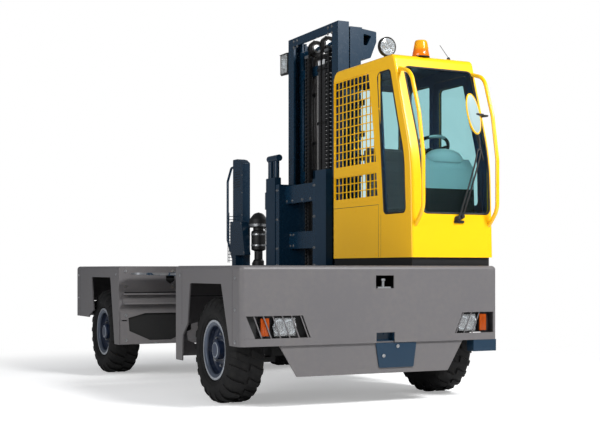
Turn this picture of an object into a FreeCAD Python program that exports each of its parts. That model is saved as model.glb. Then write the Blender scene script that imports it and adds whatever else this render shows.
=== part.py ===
import FreeCAD, Part
import math
import os
from FreeCAD import Vector

# Side-loading forklift truck, in millimetres.
# +X is the driving direction, +Y the cab side, -Y the load side, +Z up.
# The origin is on the floor under the middle of the truck.

# ---- overall body ----
front_x = 2265.0          # face of the front fascia
rear_x = -2325.0          # face of the rear fascia
half_width = 1190.0
deck_top = 1120.0
sheet = 12.0              # body sheet
corner_radius = 40.0      # upright corners of the body
lip_radius = 34.0         # rolled edge round the deck
fascia_depth = 150.0
skirt_band = 90.0         # width of deck that belongs to a side skirt
fascia_bottom = 498.0

# ---- mast well ----
well_front = 869.0
well_rear = -765.0
well_wall_bottom = 340.0
well_wall_end = 900.0     # cab-side end of the well walls
post_bottom = 310.0

# ---- wheels and axles ----
wheel_radius = 433.0
rim_radius = 228.0
flange_radius = 245.0
front_axle_x = 1580.0
rear_axle_x = -1515.0
kingpin_y = 780.0
kingpin_radius = 30.0
spindle_radius = 40.0
running_gap = 0.05
hub_radius = 77.0

# ---- chassis frame ----
rail_in = 400.0
rail_out = 480.0
rail_bottom = 640.0
frame_wall = 12.0
backbone_in = 905.0
backbone_out = 1000.0
backbone_bottom = 420.0
backbone_top = 980.0
backbone_front = 1000.0
backbone_rear = -900.0
sill_bottom = 900.0

# ---- mast guide rails on the well walls ----
guide_depth = 70.0
guide_bottom = 740.0
guide_top = 850.0
guide_wall = 15.0
guide_start = -1150.0
guide_end = 895.0

# ---- mast ----
mast_half_width = 547.0
upright_width = 125.0
upright_wall = 20.0
moving_front = 580.0
moving_back = 700.0
fixed_front = 712.0
fixed_back = 832.0
mast_top = 3483.0
fixed_mast_top = 3440.0
mast_foot = 405.0
moving_foot = 440.0
crossbar_height = 85.0

# ---- mast carriage in the well ----
side_plate = 25.0
base_front = 560.0
base_back = 865.0
guide_roller_radius = 37.0

# ---- forks and fork carriage ----
fork_front = 380.0
fork_thickness = 70.0
fork_width = 220.0
fork_outer = 675.0
fork_tip = -1120.0
fork_top = 1056.0
fork_heel = 60.0
fork_tip_thickness = 18.0
shank_top = 2040.0
tilt_y = 505.0
tilt_z = 1850.0
tilt_shaft_radius = 30.0

# ---- cab ----
cab_right = 380.0         # face towards the load side
cab_left = half_width     # face with the door
cab_rear = 818.0
cab_floor_z = deck_top + 70
cab_roof_z = 2922.0
cab_front_low = front_x - 60
pillar_knee = (cab_front_low - 26, 2040.0)
cab_front_top = front_x - 367
cab_wall = 40.0
glass_thickness = 6.0
cab_edge = 20.0           # rounding of the cab's outer edges
windshield_bottom = 1560.0
windshield_top = 2812.0
cab_roof_split = 2858.0
belt_line = 1565.0

PLANES = {
    "xy": (lambda u, v, w: Vector(u, v, w), Vector(0, 0, 1)),
    "xz": (lambda u, v, w: Vector(u, w, v), Vector(0, 1, 0)),
    "yz": (lambda u, v, w: Vector(w, u, v), Vector(1, 0, 0)),
}


# ---------------------------------------------------------------- helpers
def block(x, y, z):
    """A box from three (low, high) pairs."""
    size = (x[1] - x[0], y[1] - y[0], z[1] - z[0])
    return Part.makeBox(*size, Vector(x[0], y[0], z[0]))


def rod(start, end, radius):
    """A round bar between two points."""
    start, end = Vector(*start), Vector(*end)
    return Part.makeCylinder(radius, (end - start).Length, start, end - start)


def ring(start, end, radius, bore):
    """A round tube between two points."""
    return rod(start, end, radius).cut(rod(start, end, bore))


def corner_arc(before, point, after, radius):
    """Start, middle and end of the arc that rounds one corner."""
    to_before = (before - point).normalize()
    to_after = (after - point).normalize()
    half = to_before.getAngle(to_after) / 2
    reach = radius / math.tan(half)
    bisector = (to_before + to_after).normalize()
    centre = point + bisector * (radius / math.sin(half))
    return point + to_before * reach, centre - bisector * radius, point + to_after * reach


def path_edges(points, radii, closed):
    """Straight runs joined by tangent arcs."""
    count = len(points)
    stops = []
    for i, point in enumerate(points):
        if radii[i] > 0 and (closed or 0 < i < count - 1):
            arc = corner_arc(points[i - 1], point, points[(i + 1) % count], radii[i])
            stops.append(arc)
        else:
            stops.append((point, None, point))
    edges = []
    for i, (start, middle, end) in enumerate(stops):
        if middle is not None:
            edges.append(Part.Arc(start, middle, end).toShape())
        if i < count - 1 or closed:
            following = stops[(i + 1) % count][0]
            if (following - end).Length > 1e-6:
                edges.append(Part.LineSegment(end, following).toShape())
    return edges


def prism(plane, corners, low, high):
    """Extrude an outline of (u, v) or (u, v, radius) corners between two levels."""
    place, normal = PLANES[plane]
    points = [place(c[0], c[1], low) for c in corners]
    radii = [c[2] if len(c) > 2 else 0 for c in corners]
    face = Part.Face(Part.Wire(path_edges(points, radii, True)))
    return face.extrude(normal * (high - low))


def bent_tube(points, bend, radius):
    """A round tube along straight runs and bends."""
    points = [Vector(*p) for p in points]
    wire = Part.Wire(path_edges(points, [bend] * len(points), False))
    direction = points[1] - points[0]
    profile = Part.Wire(Part.makeCircle(radius, points[0], direction))
    return wire.makePipeShell([profile], True, True)


def revolve(corners, centre, axis):
    """Turn an outline of (distance along the axis, radius) about an axis along Y or Z."""
    if axis == "y":
        points = [Vector(centre[0], centre[1] + a, centre[2] + r) for a, r, *_ in corners]
        direction = Vector(0, 1, 0)
    else:
        points = [Vector(centre[0] + r, centre[1], centre[2] + a) for a, r, *_ in corners]
        direction = Vector(0, 0, 1)
    radii = [c[2] if len(c) > 2 else 0 for c in corners]
    face = Part.Face(Part.Wire(path_edges(points, radii, True)))
    return face.revolve(Vector(*centre), direction, 360)


def fuse(shapes):
    """One solid from several, with the seams between coplanar faces removed."""
    whole = shapes[0].multiFuse(shapes[1:]) if len(shapes) > 1 else shapes[0]
    return whole.removeSplitter()


def cut(shape, tools):
    """Take several tools out of a shape."""
    return shape.cut(Part.makeCompound(tools)) if tools else shape


def mirror_y(shape):
    return shape.mirror(Vector(0, 0, 0), Vector(0, 1, 0))


def mirror_x(shape):
    return shape.mirror(Vector(0, 0, 0), Vector(1, 0, 0))


# ---------------------------------------------------------------- body sheets
def body_block(inner, outer, inset):
    """One end of the body as a solid with rounded upright corners and a rolled top edge."""
    side = 1 if outer > inner else -1
    face_x = outer - side * inset
    edge_y = half_width - inset
    top = deck_top - inset
    corner = corner_radius - inset
    plan = [(inner, -edge_y), (face_x, -edge_y, corner), (face_x, edge_y, corner), (inner, edge_y)]
    if side < 0:
        plan.reverse()
    solid = prism("xy", plan, post_bottom - 10, top)
    rolled = []
    for edge in solid.Edges:
        box = edge.BoundBox
        if box.ZMin > top - 1 and (box.XMin + box.XMax) / 2 * side > inner * side + 1:
            rolled.append(edge)
    return solid.makeFillet(lip_radius - inset, rolled)


def body_shell(inner, outer):
    return body_block(inner, outer, 0).cut(body_block(inner, outer, sheet))


def front_arch_outline():
    """Load-side outline of the front skirt with the open wheel arch."""
    x = front_axle_x
    return [
        (well_front, post_bottom), (x - 560, post_bottom), (x - 545, 530), (x - 429, 633),
        (x - 373, 975, 20), (x + 311, 975, 20), (x + 479, fascia_bottom),
        (front_x - fascia_depth, fascia_bottom), (front_x - fascia_depth, deck_top + 1),
        (well_front, deck_top + 1),
    ]


def rear_arch_outline():
    """Load-side outline of the rear skirt with the open wheel arch."""
    x = rear_axle_x
    fascia_x = rear_x + fascia_depth
    return [
        (well_rear, 338), (x + 605, 338), (x + 462, 1007, 20), (x - 211, 1007, 20),
        (x - 139, 656), (x - 276, 609), (x - 314, 575), (fascia_x, 575), (fascia_x, deck_top + 1), (well_rear, deck_top + 1),
    ]


def skirt(inner, outer, outline, side):
    """A side skirt with its rolled edge, cut from the body sheet."""
    shell = body_shell(inner, outer)
    fascia_x = outer - math.copysign(fascia_depth, outer)
    band = [side * (half_width - skirt_band), side * half_width]
    strip = block(sorted([inner, fascia_x]), sorted(band), (post_bottom - 10, deck_top))
    panel = prism("xz", outline, min(band) - 1, max(band) + 1)
    return shell.common(strip).common(panel)


def deck(inner, outer):
    """The flat deck plate between the two skirts of one end."""
    fascia_x = outer - math.copysign(fascia_depth, outer)
    edge = half_width - skirt_band
    return block(sorted([inner, fascia_x]), (-edge, edge), (deck_top - sheet, deck_top))


def fascia(inner, outer, bottom):
    """The end panel of the body, wrapped round both corners."""
    fascia_x = outer - math.copysign(fascia_depth, outer)
    slab = block(sorted([fascia_x, outer]), (-half_width, half_width), (bottom, deck_top))
    return body_shell(inner, outer).common(slab)


lamp_low = 557.0
lamp_high = 731.0
slat_width = 9.0
slat_step = 80.0
lamp_depth = 65.0
load_lamp = [(-1150, lamp_high), (-656, lamp_high), (-587, lamp_low), (-1150, lamp_low)]
cab_lamp = [(1150, lamp_high), (836, lamp_high), (760, lamp_low), (1150, lamp_low)]
tow_hole_y = 85.0
tow_hole_z = 989.0
tow_hole_width = 170.0
tow_hole_height = 104.0


def lamp_slats(corners):
    """Slanted guard bars across a lamp recess."""
    top_y, bottom_y = corners[1][0], corners[2][0]
    inward = math.copysign(1, bottom_y - top_y)
    half = slat_width / 2
    slats = []
    for i in range(int(abs(corners[0][0] - top_y) / slat_step)):
        offset = inward * (half + 12 + i * slat_step)
        top, bottom = top_y - offset, bottom_y - offset
        bar = [(top - half, lamp_high), (top + half, lamp_high),
               (bottom + half, lamp_low), (bottom - half, lamp_low)]
        slats.append(prism("yz", bar, front_x - sheet, front_x - sheet + 6))
    return slats


def front_fascia():
    """Front panel with lamp recesses, towing hole, step notch and the apron below it."""
    panel = fascia(well_front, front_x, fascia_bottom)
    back = front_x - sheet - 5
    openings = [prism("yz", lamp, front_x - 35, front_x + 1) for lamp in (load_lamp, cab_lamp)]
    openings.append(block(
        (back, front_x + 1), (tow_hole_y - tow_hole_width / 2, tow_hole_y + tow_hole_width / 2),
        (tow_hole_z - tow_hole_height / 2, tow_hole_z + tow_hole_height / 2)))
    openings.append(block((back, front_x + 1), (5, 178), (fascia_bottom - 1, 580)))
    panel = cut(panel, openings)
    apron = prism("yz", [(-850, fascia_bottom), (-700, 251, 8), (700, 251, 8), (850, fascia_bottom)],
                  front_x - 30, front_x - 18)
    shelf = block((front_x - 30, front_x - 5), (-850, 850), (fascia_bottom, fascia_bottom + sheet))
    shelf = shelf.cut(block((front_x - 16, front_x), (5, 178), (fascia_bottom - 1, 580)))
    slats = lamp_slats(load_lamp) + lamp_slats(cab_lamp)
    return fuse([panel, apron, shelf] + slats)


def rear_fascia():
    """Rear panel with the radiator grille and two lamp recesses."""
    panel = fascia(well_rear, rear_x, 575)
    slots = []
    for i in range(9):
        z = 640 + i * 42
        slots.append(block((rear_x - 1, rear_x + sheet + 1), (-330, 330), (z, z + 20)))
    for side in (-1, 1):
        span = sorted([side * 880, side * 1080])
        slots.append(block((rear_x - 1, rear_x + sheet + 1), span, (640, 740)))
    return cut(panel, slots)


def side_sill():
    """Cab-side sheet with rolled edge that bridges the mast well."""
    low = sill_bottom
    outer = [(backbone_in, low), (half_width, low), (half_width, deck_top, lip_radius),
             (backbone_in, deck_top)]
    inner = [(backbone_in - 1, low - 1), (half_width - sheet, low - 1),
             (half_width - sheet, deck_top - sheet, lip_radius - sheet),
             (backbone_in - 1, deck_top - sheet)]
    profile = prism("yz", outer, well_rear, well_front)
    return profile.cut(prism("yz", inner, well_rear - 1, well_front + 1))


# ---------------------------------------------------------------- chassis frame
def frame_rail(x_span, side):
    """A channel-section rail that carries the deck and an axle."""
    top = deck_top - sheet
    web = frame_wall
    if side > 0:
        y = (rail_in, rail_out)
    else:
        y = (-rail_out, -rail_in)
    outer = block(x_span, y, (rail_bottom, top))
    if side > 0:
        pocket_y = (rail_in + web, rail_out + 1)
    else:
        pocket_y = (-rail_out - 1, -rail_in - web)
    pocket = block((x_span[0] - 1, x_span[1] + 1), pocket_y, (rail_bottom + web, top - web))
    return outer.cut(pocket)


def frame_end(inner, outer, axle_x):
    """One end of the chassis: two rails, axle pads, cross members and the ties to the backbone."""
    side = math.copysign(1, outer)
    start, end = inner + side * sheet, outer - side * 65
    top = deck_top - sheet
    reach = rail_in + frame_wall
    cross_z = (700, 900)
    parts = []
    for rail_side in (-1, 1):
        parts.append(frame_rail(sorted([start, end]), rail_side))
        pad_y = sorted([rail_side * rail_in, rail_side * rail_out])
        parts.append(block((axle_x - 90, axle_x + 90), pad_y,
                           (wheel_radius + 60, rail_bottom + frame_wall)))
    for x in (end - side * 60, start + side * 160):
        parts.append(block(sorted([x, x + side * 60]), (-reach, reach), cross_z))
    tie_end = backbone_front if side > 0 else backbone_rear
    parts.append(block(sorted([start, tie_end]), (rail_out, backbone_in), cross_z))
    parts.append(block(sorted([start, start + side * 60]), (rail_out, backbone_in), (900, top)))
    return parts


def front_frame():
    """Front end of the chassis with the beam that carries the lamps."""
    end = front_x - 65
    beam = block((end - 60, end), (sheet - half_width + 28, half_width - sheet - 28), (560, 720))
    return fuse(frame_end(well_front, front_x, front_axle_x) + [beam])


def rear_frame():
    """Rear end of the chassis with the feet of the engine."""
    feet = []
    for x in (-2100, -1400):
        for side in (-1, 1):
            foot = sorted([side * (rail_in - 20), side * (rail_in + 1)])
            feet.append(block((x, x + 80), foot, (720, 780)))
    return fuse(frame_end(well_rear, rear_x, rear_axle_x) + feet)


def backbone():
    """Box beam that joins both ends beside the mast well."""
    skin = frame_wall
    beam = block((backbone_rear, backbone_front), (backbone_in, backbone_out),
                 (backbone_bottom, backbone_top))
    hollow = block((backbone_rear + skin, backbone_front - skin),
                   (backbone_in + skin, backbone_out - skin),
                   (backbone_bottom + skin, backbone_top - skin))
    return beam.cut(hollow)


def guide_rail(wall_face, inward):
    """C-section rail for the mast rollers, open towards the middle of the well."""
    a, b = wall_face, wall_face + inward * guide_depth
    outer = block(sorted([a, b]), (guide_start, guide_end), (guide_bottom, guide_top))
    a, b = wall_face + inward * guide_wall, wall_face + inward * (guide_depth + 1)
    groove = block(sorted([a, b]), (guide_start - 1, guide_end + 1),
                   (guide_bottom + guide_wall, guide_top - guide_wall))
    return outer.cut(groove)


wall_window = [
    (-1096, 603), (-918, 650), (-598, 650), (-420, 603), (-420, 473), (-640, 377),
    (-865, 377), (-1085, 473),
]


def well_wall(face, outward):
    """A transverse wall of the mast well with its stiffener, window and guide rail."""
    edge = half_width - sheet
    bounds = sorted([face, face + outward * sheet])
    wall = prism("yz", [(-edge, well_wall_bottom), (well_wall_end, well_wall_bottom),
                        (well_wall_end, deck_top - sheet),
                        (-edge, deck_top - sheet, lip_radius - sheet + 0.3)], *bounds)
    step = sorted([face, face - outward * 14])
    doubler = block(step, (-edge, well_wall_end), (well_wall_bottom, 668))
    span = sorted([face + outward * (sheet + 1), face - outward * 15])
    window = prism("yz", wall_window, span[0], span[1])
    slot = block(bounds, (-1130, -500), (852, 862))
    shield = prism("yz", [(-695, 1030, 12), (-695, 975, 20), (-647, 940, 12), (-600, 975, 20),
                          (-600, 1030, 12)], *bounds)
    step_slot = block((span[0], span[1]), (-1165, -1106), (572, 584))
    wall = cut(fuse([wall, doubler]), [window, slot, shield, step_slot])
    return fuse([wall, guide_rail(face, -outward)])


def oil_tank():
    """Hydraulic oil tank behind the window of the rear well wall."""
    face = well_rear - sheet
    return block((face - 120, face), (-1150, -rail_out - 10), (345, 1000))


def fuel_tank():
    """Tank carried on the backbone, below the cab-side sill."""
    return prism("yz", [(backbone_out, 430, 20), (half_width, 430, 60), (half_width, 890, 30),
                        (backbone_out, 890, 20)], -680, 480)


def cab_steps():
    """Boarding steps below the cab door."""
    parts = []
    for z in (430, 660):
        parts.append(block((500, 860), (backbone_out, half_width), (z, z + 25)))
    for x in (500, 848):
        parts.append(block((x, x + 12), (backbone_out, half_width), (430, 895)))
    return fuse(parts)


def tow_pin():
    """Drop-in towing pin with its plate bracket behind the fascia."""
    plate_z = (tow_hole_z - 60, tow_hole_z - 40)
    bracket = block((front_x - 65, front_x - sheet), (tow_hole_y - 60, tow_hole_y + 60), plate_z)
    pin_x = front_x - 38
    shank = rod((pin_x, tow_hole_y, tow_hole_z - 70), (pin_x, tow_hole_y, tow_hole_z + 8), 14)
    head = rod((pin_x, tow_hole_y, tow_hole_z + 8), (pin_x, tow_hole_y, tow_hole_z + 26), 22)
    return fuse([bracket, shank, head])


def front_step():
    """Dark pocket and plate in the middle of the front apron, and the foothold at its end."""
    x0 = front_x - 18
    plate = prism("yz", [(5, 496), (388, 496), (359, 295, 12), (37, 295, 12)], x0, x0 + 10)
    back, mouth = front_x - 60, front_x - sheet
    floor_z = fascia_bottom + sheet
    pocket = [block((back, back + 4), (5, 178), (floor_z, 580)),
              block((back + 4, mouth), (9, 174), (floor_z, floor_z + 4))]
    pocket += [block((back + 4, mouth), (y, y + 4), (floor_z, 580)) for y in (5, 174)]
    tread = block((front_x - 100, front_x - 2), (950, half_width - 10), (400, fascia_bottom))
    return Part.makeCompound([plate, fuse(pocket), tread])


def headlamps():
    """Headlamps and indicators behind the guard bars of both front recesses."""
    depth = (front_x - lamp_depth, front_x - sheet - 2)
    level = (lamp_low + 12, lamp_high - 12)
    lamps = []
    for y0, y1 in ((-897, -708), (-1015, -931), (808, 985), (1015, 1095)):
        outline = [(y0, level[0], 14), (y1, level[0], 14), (y1, level[1], 14), (y0, level[1], 14)]
        lamps.append(prism("yz", outline, *depth))
    return Part.makeCompound(lamps)


# ---------------------------------------------------------------- axles and wheels
yoke_height = 110.0
knuckle_height = 70.5


def yoke(x, side):
    """Forked end of the steering axle with its kingpin."""
    z = wheel_radius
    root, tip = side * 600, side * 840
    ear = [(x - 60, root), (x + 60, root), (x + 60, tip, 60), (x - 60, tip, 60)]
    parts = [prism("xy", ear, z - yoke_height, z - knuckle_height - 0.5),
             prism("xy", ear, z + knuckle_height + 0.5, z + yoke_height)]
    parts.append(block((x - 60, x + 60), sorted([root, side * 645]),
                       (z - yoke_height, z + yoke_height)))
    parts.append(rod((x, side * kingpin_y, z - yoke_height - 6),
                     (x, side * kingpin_y, z + yoke_height + 6), kingpin_radius))
    return fuse(parts)


def front_axle():
    """Steering axle: box beam, yokes and the double-ended steering cylinder."""
    x, z = front_axle_x, wheel_radius
    parts = [block((x - 70, x + 70), (-640, 640), (z - 60, z + 60))]
    parts += [yoke(x, side) for side in (-1, 1)]
    ram_x = x - 150
    parts.append(rod((ram_x, -270, z), (ram_x, 270, z), 48))
    parts.append(rod((ram_x, -430, z), (ram_x, 430, z), 22))
    for y in (-200, 200):
        parts.append(block((ram_x, x - 60), (y - 15, y + 15), (z - 45, z + 45)))
    return fuse(parts)


def knuckle(side):
    """Steering knuckle: kingpin boss, spindle and steering arm."""
    x, y, z = front_axle_x, side * kingpin_y, wheel_radius
    bore = rod((x, y, z - yoke_height), (x, y, z + yoke_height), kingpin_radius + running_gap)
    boss = rod((x, y, z - knuckle_height), (x, y, z + knuckle_height), 58)
    root = rod((x, side * (kingpin_y + 20), z), (x, side * 870, z), 58)
    spindle = rod((x, side * 860, z), (x, side * 1090, z), spindle_radius)
    arm_y = y - side * 30
    arm = prism("xy", [(x + 10, y - 30), (x + 10, y + 30), (x - 150, arm_y + 24, 20),
                       (x - 150, arm_y - 24, 20)], z - 20, z + 5)
    return fuse([boss, root, spindle, arm]).cut(bore)


def rear_axle():
    """Drive axle: differential housing, tubes, brake drums and spindles."""
    x, z = rear_axle_x, wheel_radius
    parts = [rod((x, -790, z), (x, 790, z), 60)]
    housing = revolve([(-170, 0), (-170, 62), (-90, 150, 60), (60, 150, 60), (150, 62), (150, 0)],
                      (x, -60, z), "y")
    parts.append(housing)
    parts.append(rod((x, -60, z), (x + 230, -60, z), 62))
    for side in (-1, 1):
        pad = sorted([side * rail_in, side * rail_out])
        parts.append(block((x - 90, x + 90), pad, (z - 40, z + 60)))
        parts.append(rod((x, side * 790, z), (x, side * 865, z), 150))
        parts.append(rod((x, side * 865, z), (x, side * 1090, z), spindle_radius))
    return fuse(parts)


rim_profile = [
    (880, spindle_radius + running_gap), (1096, spindle_radius + running_gap), (1096, 0), (1118, 0),
    (1118, 58, 5), (1106, hub_radius), (1056, hub_radius), (1046, 174, 20), (1060, 186),
    (1112, 199, 8), (1121, 224), (1121, flange_radius), (1108, flange_radius), (1100, rim_radius),
    (870, rim_radius), (862, flange_radius), (850, flange_radius), (850, 216), (1030, 216, 10),
    (1038, 92), (880, 92),
]
tyre_height = wheel_radius - flange_radius
bead, bulge = flange_radius + 0.14 * tyre_height, flange_radius + 0.42 * tyre_height
shoulder = flange_radius + 0.79 * tyre_height
tyre_profile = [
    (872, rim_radius + 0.3), (1098, rim_radius + 0.3), (1103, flange_radius + 2),
    (1134, bead, 0.12 * tyre_height), (1148, bulge, 0.32 * tyre_height),
    (1130, shoulder, 0.21 * tyre_height), (1088, wheel_radius, 0.21 * tyre_height),
    (892, wheel_radius, 0.21 * tyre_height), (850, shoulder, 0.21 * tyre_height),
    (832, bulge, 0.32 * tyre_height), (840, bead, 0.12 * tyre_height), (867, flange_radius + 2),
]


def wheel_part(profile, x, side):
    """A rim or tyre turned from its profile; y is measured from the middle of the truck."""
    shape = revolve(profile, (x, 0, wheel_radius), "y")
    return shape if side > 0 else mirror_y(shape)


# ---------------------------------------------------------------- power unit on the rear end
stack_x = (-1840.0, -1560.0)
stack_y = (500.0, 590.0)
stack_top = deck_top + 1220
guard_x = (-1745.0, -1335.0)
guard_y = (425.0, 497.0)
cleaner_x = -1312.0
cleaner_y = 582.0
hood_x = (-2250.0, -1060.0)
hood_y = (656.0, 1090.0)
hood_height = 14.0


def engine_block():
    """The engine as one plain block between the rear rails."""
    return block((-2160, -1300), (-rail_in + 20, rail_in - 20), (610, deck_top - sheet - 20))


def exhaust_stack():
    """Upright silencer casing with a sloping outlet and the heat guard in front of its foot."""
    x0, x1 = stack_x
    y0, y1 = stack_y
    casing = prism("xz", [(x0, deck_top), (x1, deck_top), (x1, stack_top - 55, 10),
                          (x0 + 200, stack_top - 15, 30), (x0 + 120, stack_top, 20), (x0, stack_top, 10)],
                   y0, y1)
    low, high = deck_top + 130, deck_top + 502
    guard = prism("xz", [(guard_x[0], low, 12), (guard_x[1], low - 7, 12),
                         (guard_x[1] - 90, high, 12), (guard_x[0], high + 8, 12)], *guard_y)
    room = prism("xz", [(guard_x[0] + 4, low + 4, 6), (guard_x[1] - 6, low + 4, 6),
                        (guard_x[1] - 96, high - 8, 6), (guard_x[0] + 4, high, 6)],
                 guard_y[0] + 5, guard_y[1] + 1)
    foot = block((guard_x[0] + 40, x1 - 40), (guard_y[0] + 5, y0), (deck_top, low + 20))
    return fuse([casing, guard.cut(room), foot])


def air_cleaner():
    """Mushroom pre-cleaner on its pipe above the filter canister."""
    x, y = cleaner_x, cleaner_y
    profile = [(0, 0), (0, 62), (60, 62, 8), (80, 46), (170, 46), (185, 80, 10), (385, 80, 14),
               (400, 60), (440, 60), (440, 104), (470, 108, 6), (525, 98, 40), (585, 50, 50), (600, 0)]
    return revolve(profile, (x, y, deck_top), "z")


def deck_handrail():
    """Bent tube beside the exhaust stack, fixed at its head and at the deck."""
    y = (stack_y[0] + stack_y[1]) / 2
    x = stack_x[0]
    head, bend, knee, foot = stack_top - 78, stack_top - 230, deck_top + 310, deck_top + 60
    return bent_tube([(x, y, head), (x - 150, y, head), (x - 262, y, bend), (x - 262, y, knee),
                      (x - 80, y, foot), (x - 80, y, deck_top)], 45, 14)


def engine_hood():
    """Raised tread-plate lid over the engine side of the rear deck."""
    x0, x1 = hood_x
    y0, y1 = hood_y
    plate = prism("xy", [(x0, y0, 30), (x1, y0, 30), (x1, y1, 12), (x0, y1, 12)],
                  deck_top + 1, deck_top + hood_height)
    knuckles = []
    for x in (x0 + 140, x1 - 260):
        knuckles.append(rod((x, y1 + 12, deck_top + 15), (x + 120, y1 + 12, deck_top + 15), 12))
        knuckles.append(block((x, x + 120), (y1 - 30, y1 + 12), (deck_top + hood_height - 6,
                                                                deck_top + 24)))
    handle = bent_tube([(x0 + 520, y0 + 40, deck_top + hood_height - 2),
                        (x0 + 520, y0 + 40, deck_top + 45), (x0 + 680, y0 + 40, deck_top + 45),
                        (x0 + 680, y0 + 40, deck_top + hood_height - 2)], 14, 7)
    bore = rod((x0, y1 + 12, deck_top + 15), (x1, y1 + 12, deck_top + 15), 5 + running_gap)
    return fuse([plate, handle] + knuckles).cut(bore)


def hood_hinges():
    """Hinge pins on the deck and their end lugs."""
    parts = []
    y = hood_y[1] + 12
    z = deck_top + 15
    for x in (hood_x[0] + 140, hood_x[1] - 260):
        parts.append(rod((x - 20, y, z), (x + 140, y, z), 5))
        for lug_x in (x - 20, x + 126):
            parts.append(block((lug_x, lug_x + 14), (y - 8, y + 8), (deck_top, z + 8)))
    return parts


def rear_deck():
    """Rear deck plate with the raised service cover and the hood hinges."""
    cover = prism("xy", [(hood_x[0], 200, 30), (hood_x[1], 200, 30), (hood_x[1], hood_y[0] - 6),
                         (hood_x[0], hood_y[0] - 6)], deck_top, deck_top + 8)
    cover = cut(cover, [block((stack_x[0] - 130, guard_x[1] + 30), (guard_y[0] - 20, stack_y[1] + 40),
                              (deck_top, deck_top + 9)),
                        block((cleaner_x - 90, cleaner_x + 90), (cleaner_y - 90, hood_y[0]),
                              (deck_top, deck_top + 9))])
    return fuse([deck(well_rear, rear_x), cover] + hood_hinges())


# ---------------------------------------------------------------- cab
def pillar_x(z):
    """Front face of the cab at a height."""
    knee_x, knee_z = pillar_knee
    if z < knee_z:
        share = (z - cab_floor_z) / (knee_z - cab_floor_z)
        return cab_front_low + share * (knee_x - cab_front_low)
    share = (z - knee_z) / (cab_roof_z - knee_z)
    return knee_x + share * (cab_front_top - knee_x)


def cab_outline(inset):
    """Side outline of the cab, moved inwards by a wall thickness and open at the floor."""
    low = cab_floor_z if inset == 0 else cab_floor_z - 5
    knee_x, knee_z = pillar_knee
    roof = cab_roof_z - inset
    return [
        (cab_rear + inset, low), (pillar_x(low) - inset, low), (knee_x - inset, knee_z, 1500 - inset),
        (pillar_x(roof) - inset * 1.05, roof, max(60 - inset, 10)),
        (cab_rear + inset, roof, 100 - inset),
    ]


def cab_solid():
    """Outer form of the cab with its rounded edges."""
    solid = prism("xz", cab_outline(0), cab_right, cab_left)
    rounded = []
    for edge in solid.Edges:
        box = edge.BoundBox
        on_side = box.YLength < 1 and box.ZLength + box.XLength > 1
        if on_side and box.ZMax > cab_floor_z + 1:
            rounded.append(edge)
    return solid.makeFillet(cab_edge, rounded)


def cab_shell():
    """Closed cab box with 40 mm walls and no floor."""
    room = prism("xz", cab_outline(cab_wall), cab_right + cab_wall, cab_left - cab_wall)
    return cab_solid().cut(room)


def windshield_opening():
    right, left = cab_right + 84, cab_left - 26
    corners = [(right + 30, windshield_bottom, 45), (left, windshield_bottom, 45),
               (left - 10, windshield_top, 50), (right, windshield_top, 50)]
    return prism("yz", corners, cab_front_top - 60, cab_front_low + 30)


def front_strip(z, width):
    return pillar_x(z) - width


quarter_window = [
    (1752, belt_line + 3, 40), (front_strip(belt_line, 95), belt_line + 3, 40),
    (front_strip(pillar_knee[1], 95), pillar_knee[1], 900),
    (front_strip(2790, 95), 2790, 40), (1640, 2790, 40),
]
upper_mesh = [(850, 2020, 15), (1615, 2020, 15), (1482, 2820, 15), (850, 2820, 15)]
lower_mesh = [(850, 1722, 12), (1640, 1722, 12), (1618, 1936, 12), (850, 1936, 12)]
rear_window = [(455, 1640, 40), (1100, 1640, 40), (1100, 2790, 40), (455, 2790, 40)]
side_window = [(890, 1640, 40), (1270, 1640, 40), (1270, 2790, 40), (890, 2790, 40)]
door_rear = 1335.0
door_bottom = cab_floor_z + 35
door_head = 2800.0
door_gap = 6.0
door_hinge_z = (door_bottom + 225, 2050.0, 2620.0)
hinge_x = door_rear - 16.0
hinge_radius = 11.0
hinge_y = cab_left - hinge_radius


def door_outline(inset):
    """Outline of the doorway, or of the door inside it."""
    front = 90 + inset
    low, high = door_bottom + inset, door_head - inset
    knee_z = pillar_knee[1]
    return [
        (door_rear + inset, low, 30), (front_strip(low, front), low, 50),
        (front_strip(knee_z, front), knee_z, 900), (front_strip(high, front), high, 50),
        (door_rear + inset, high, 50),
    ]


def front_panel_block():
    return block((cab_front_low - 100, cab_front_low + 30),
                 (cab_right + cab_wall, cab_left - cab_wall - 8),
                 (cab_floor_z + 20, windshield_bottom - 24))


def cab_frame():
    """Pillars, side walls and rear wall of the cab with every window and the doorway cut."""
    right = (cab_right - 1, cab_right + cab_wall + 1)
    left = (cab_left - cab_wall - 1, cab_left + 1)
    tools = [windshield_opening(), front_panel_block()]
    for outline in (quarter_window, upper_mesh, lower_mesh):
        tools.append(prism("xz", outline, *right))
    tools.append(prism("xz", side_window, *left))
    tools.append(prism("xz", door_outline(0), *left))
    tools.append(prism("yz", rear_window, cab_rear - 1, cab_rear + cab_wall + 1))
    tools.append(block((cab_rear - 10, cab_front_low + 10), (cab_right - 10, cab_left + 10),
                       (cab_roof_split, cab_roof_z + 10)))
    for z in door_hinge_z:
        tools.append(block((hinge_x - 18, door_rear + 1), (cab_left - 28, cab_left + 1),
                           (z - 20, z + 20)))
    pins = [rod((hinge_x, hinge_y, z - 30), (hinge_x, hinge_y, z + 30), 6) for z in door_hinge_z]
    return fuse([cut(cab_shell(), tools)] + pins)


def cab_roof():
    """Roof pressing with its rounded edges."""
    cap = block((cab_rear - 10, cab_front_low + 10), (cab_right - 10, cab_left + 10),
                (cab_roof_split, cab_roof_z + 10))
    return cab_shell().common(cap)


def cab_front_panel():
    """Pressed panel below the windshield."""
    return cab_shell().common(front_panel_block())


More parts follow.
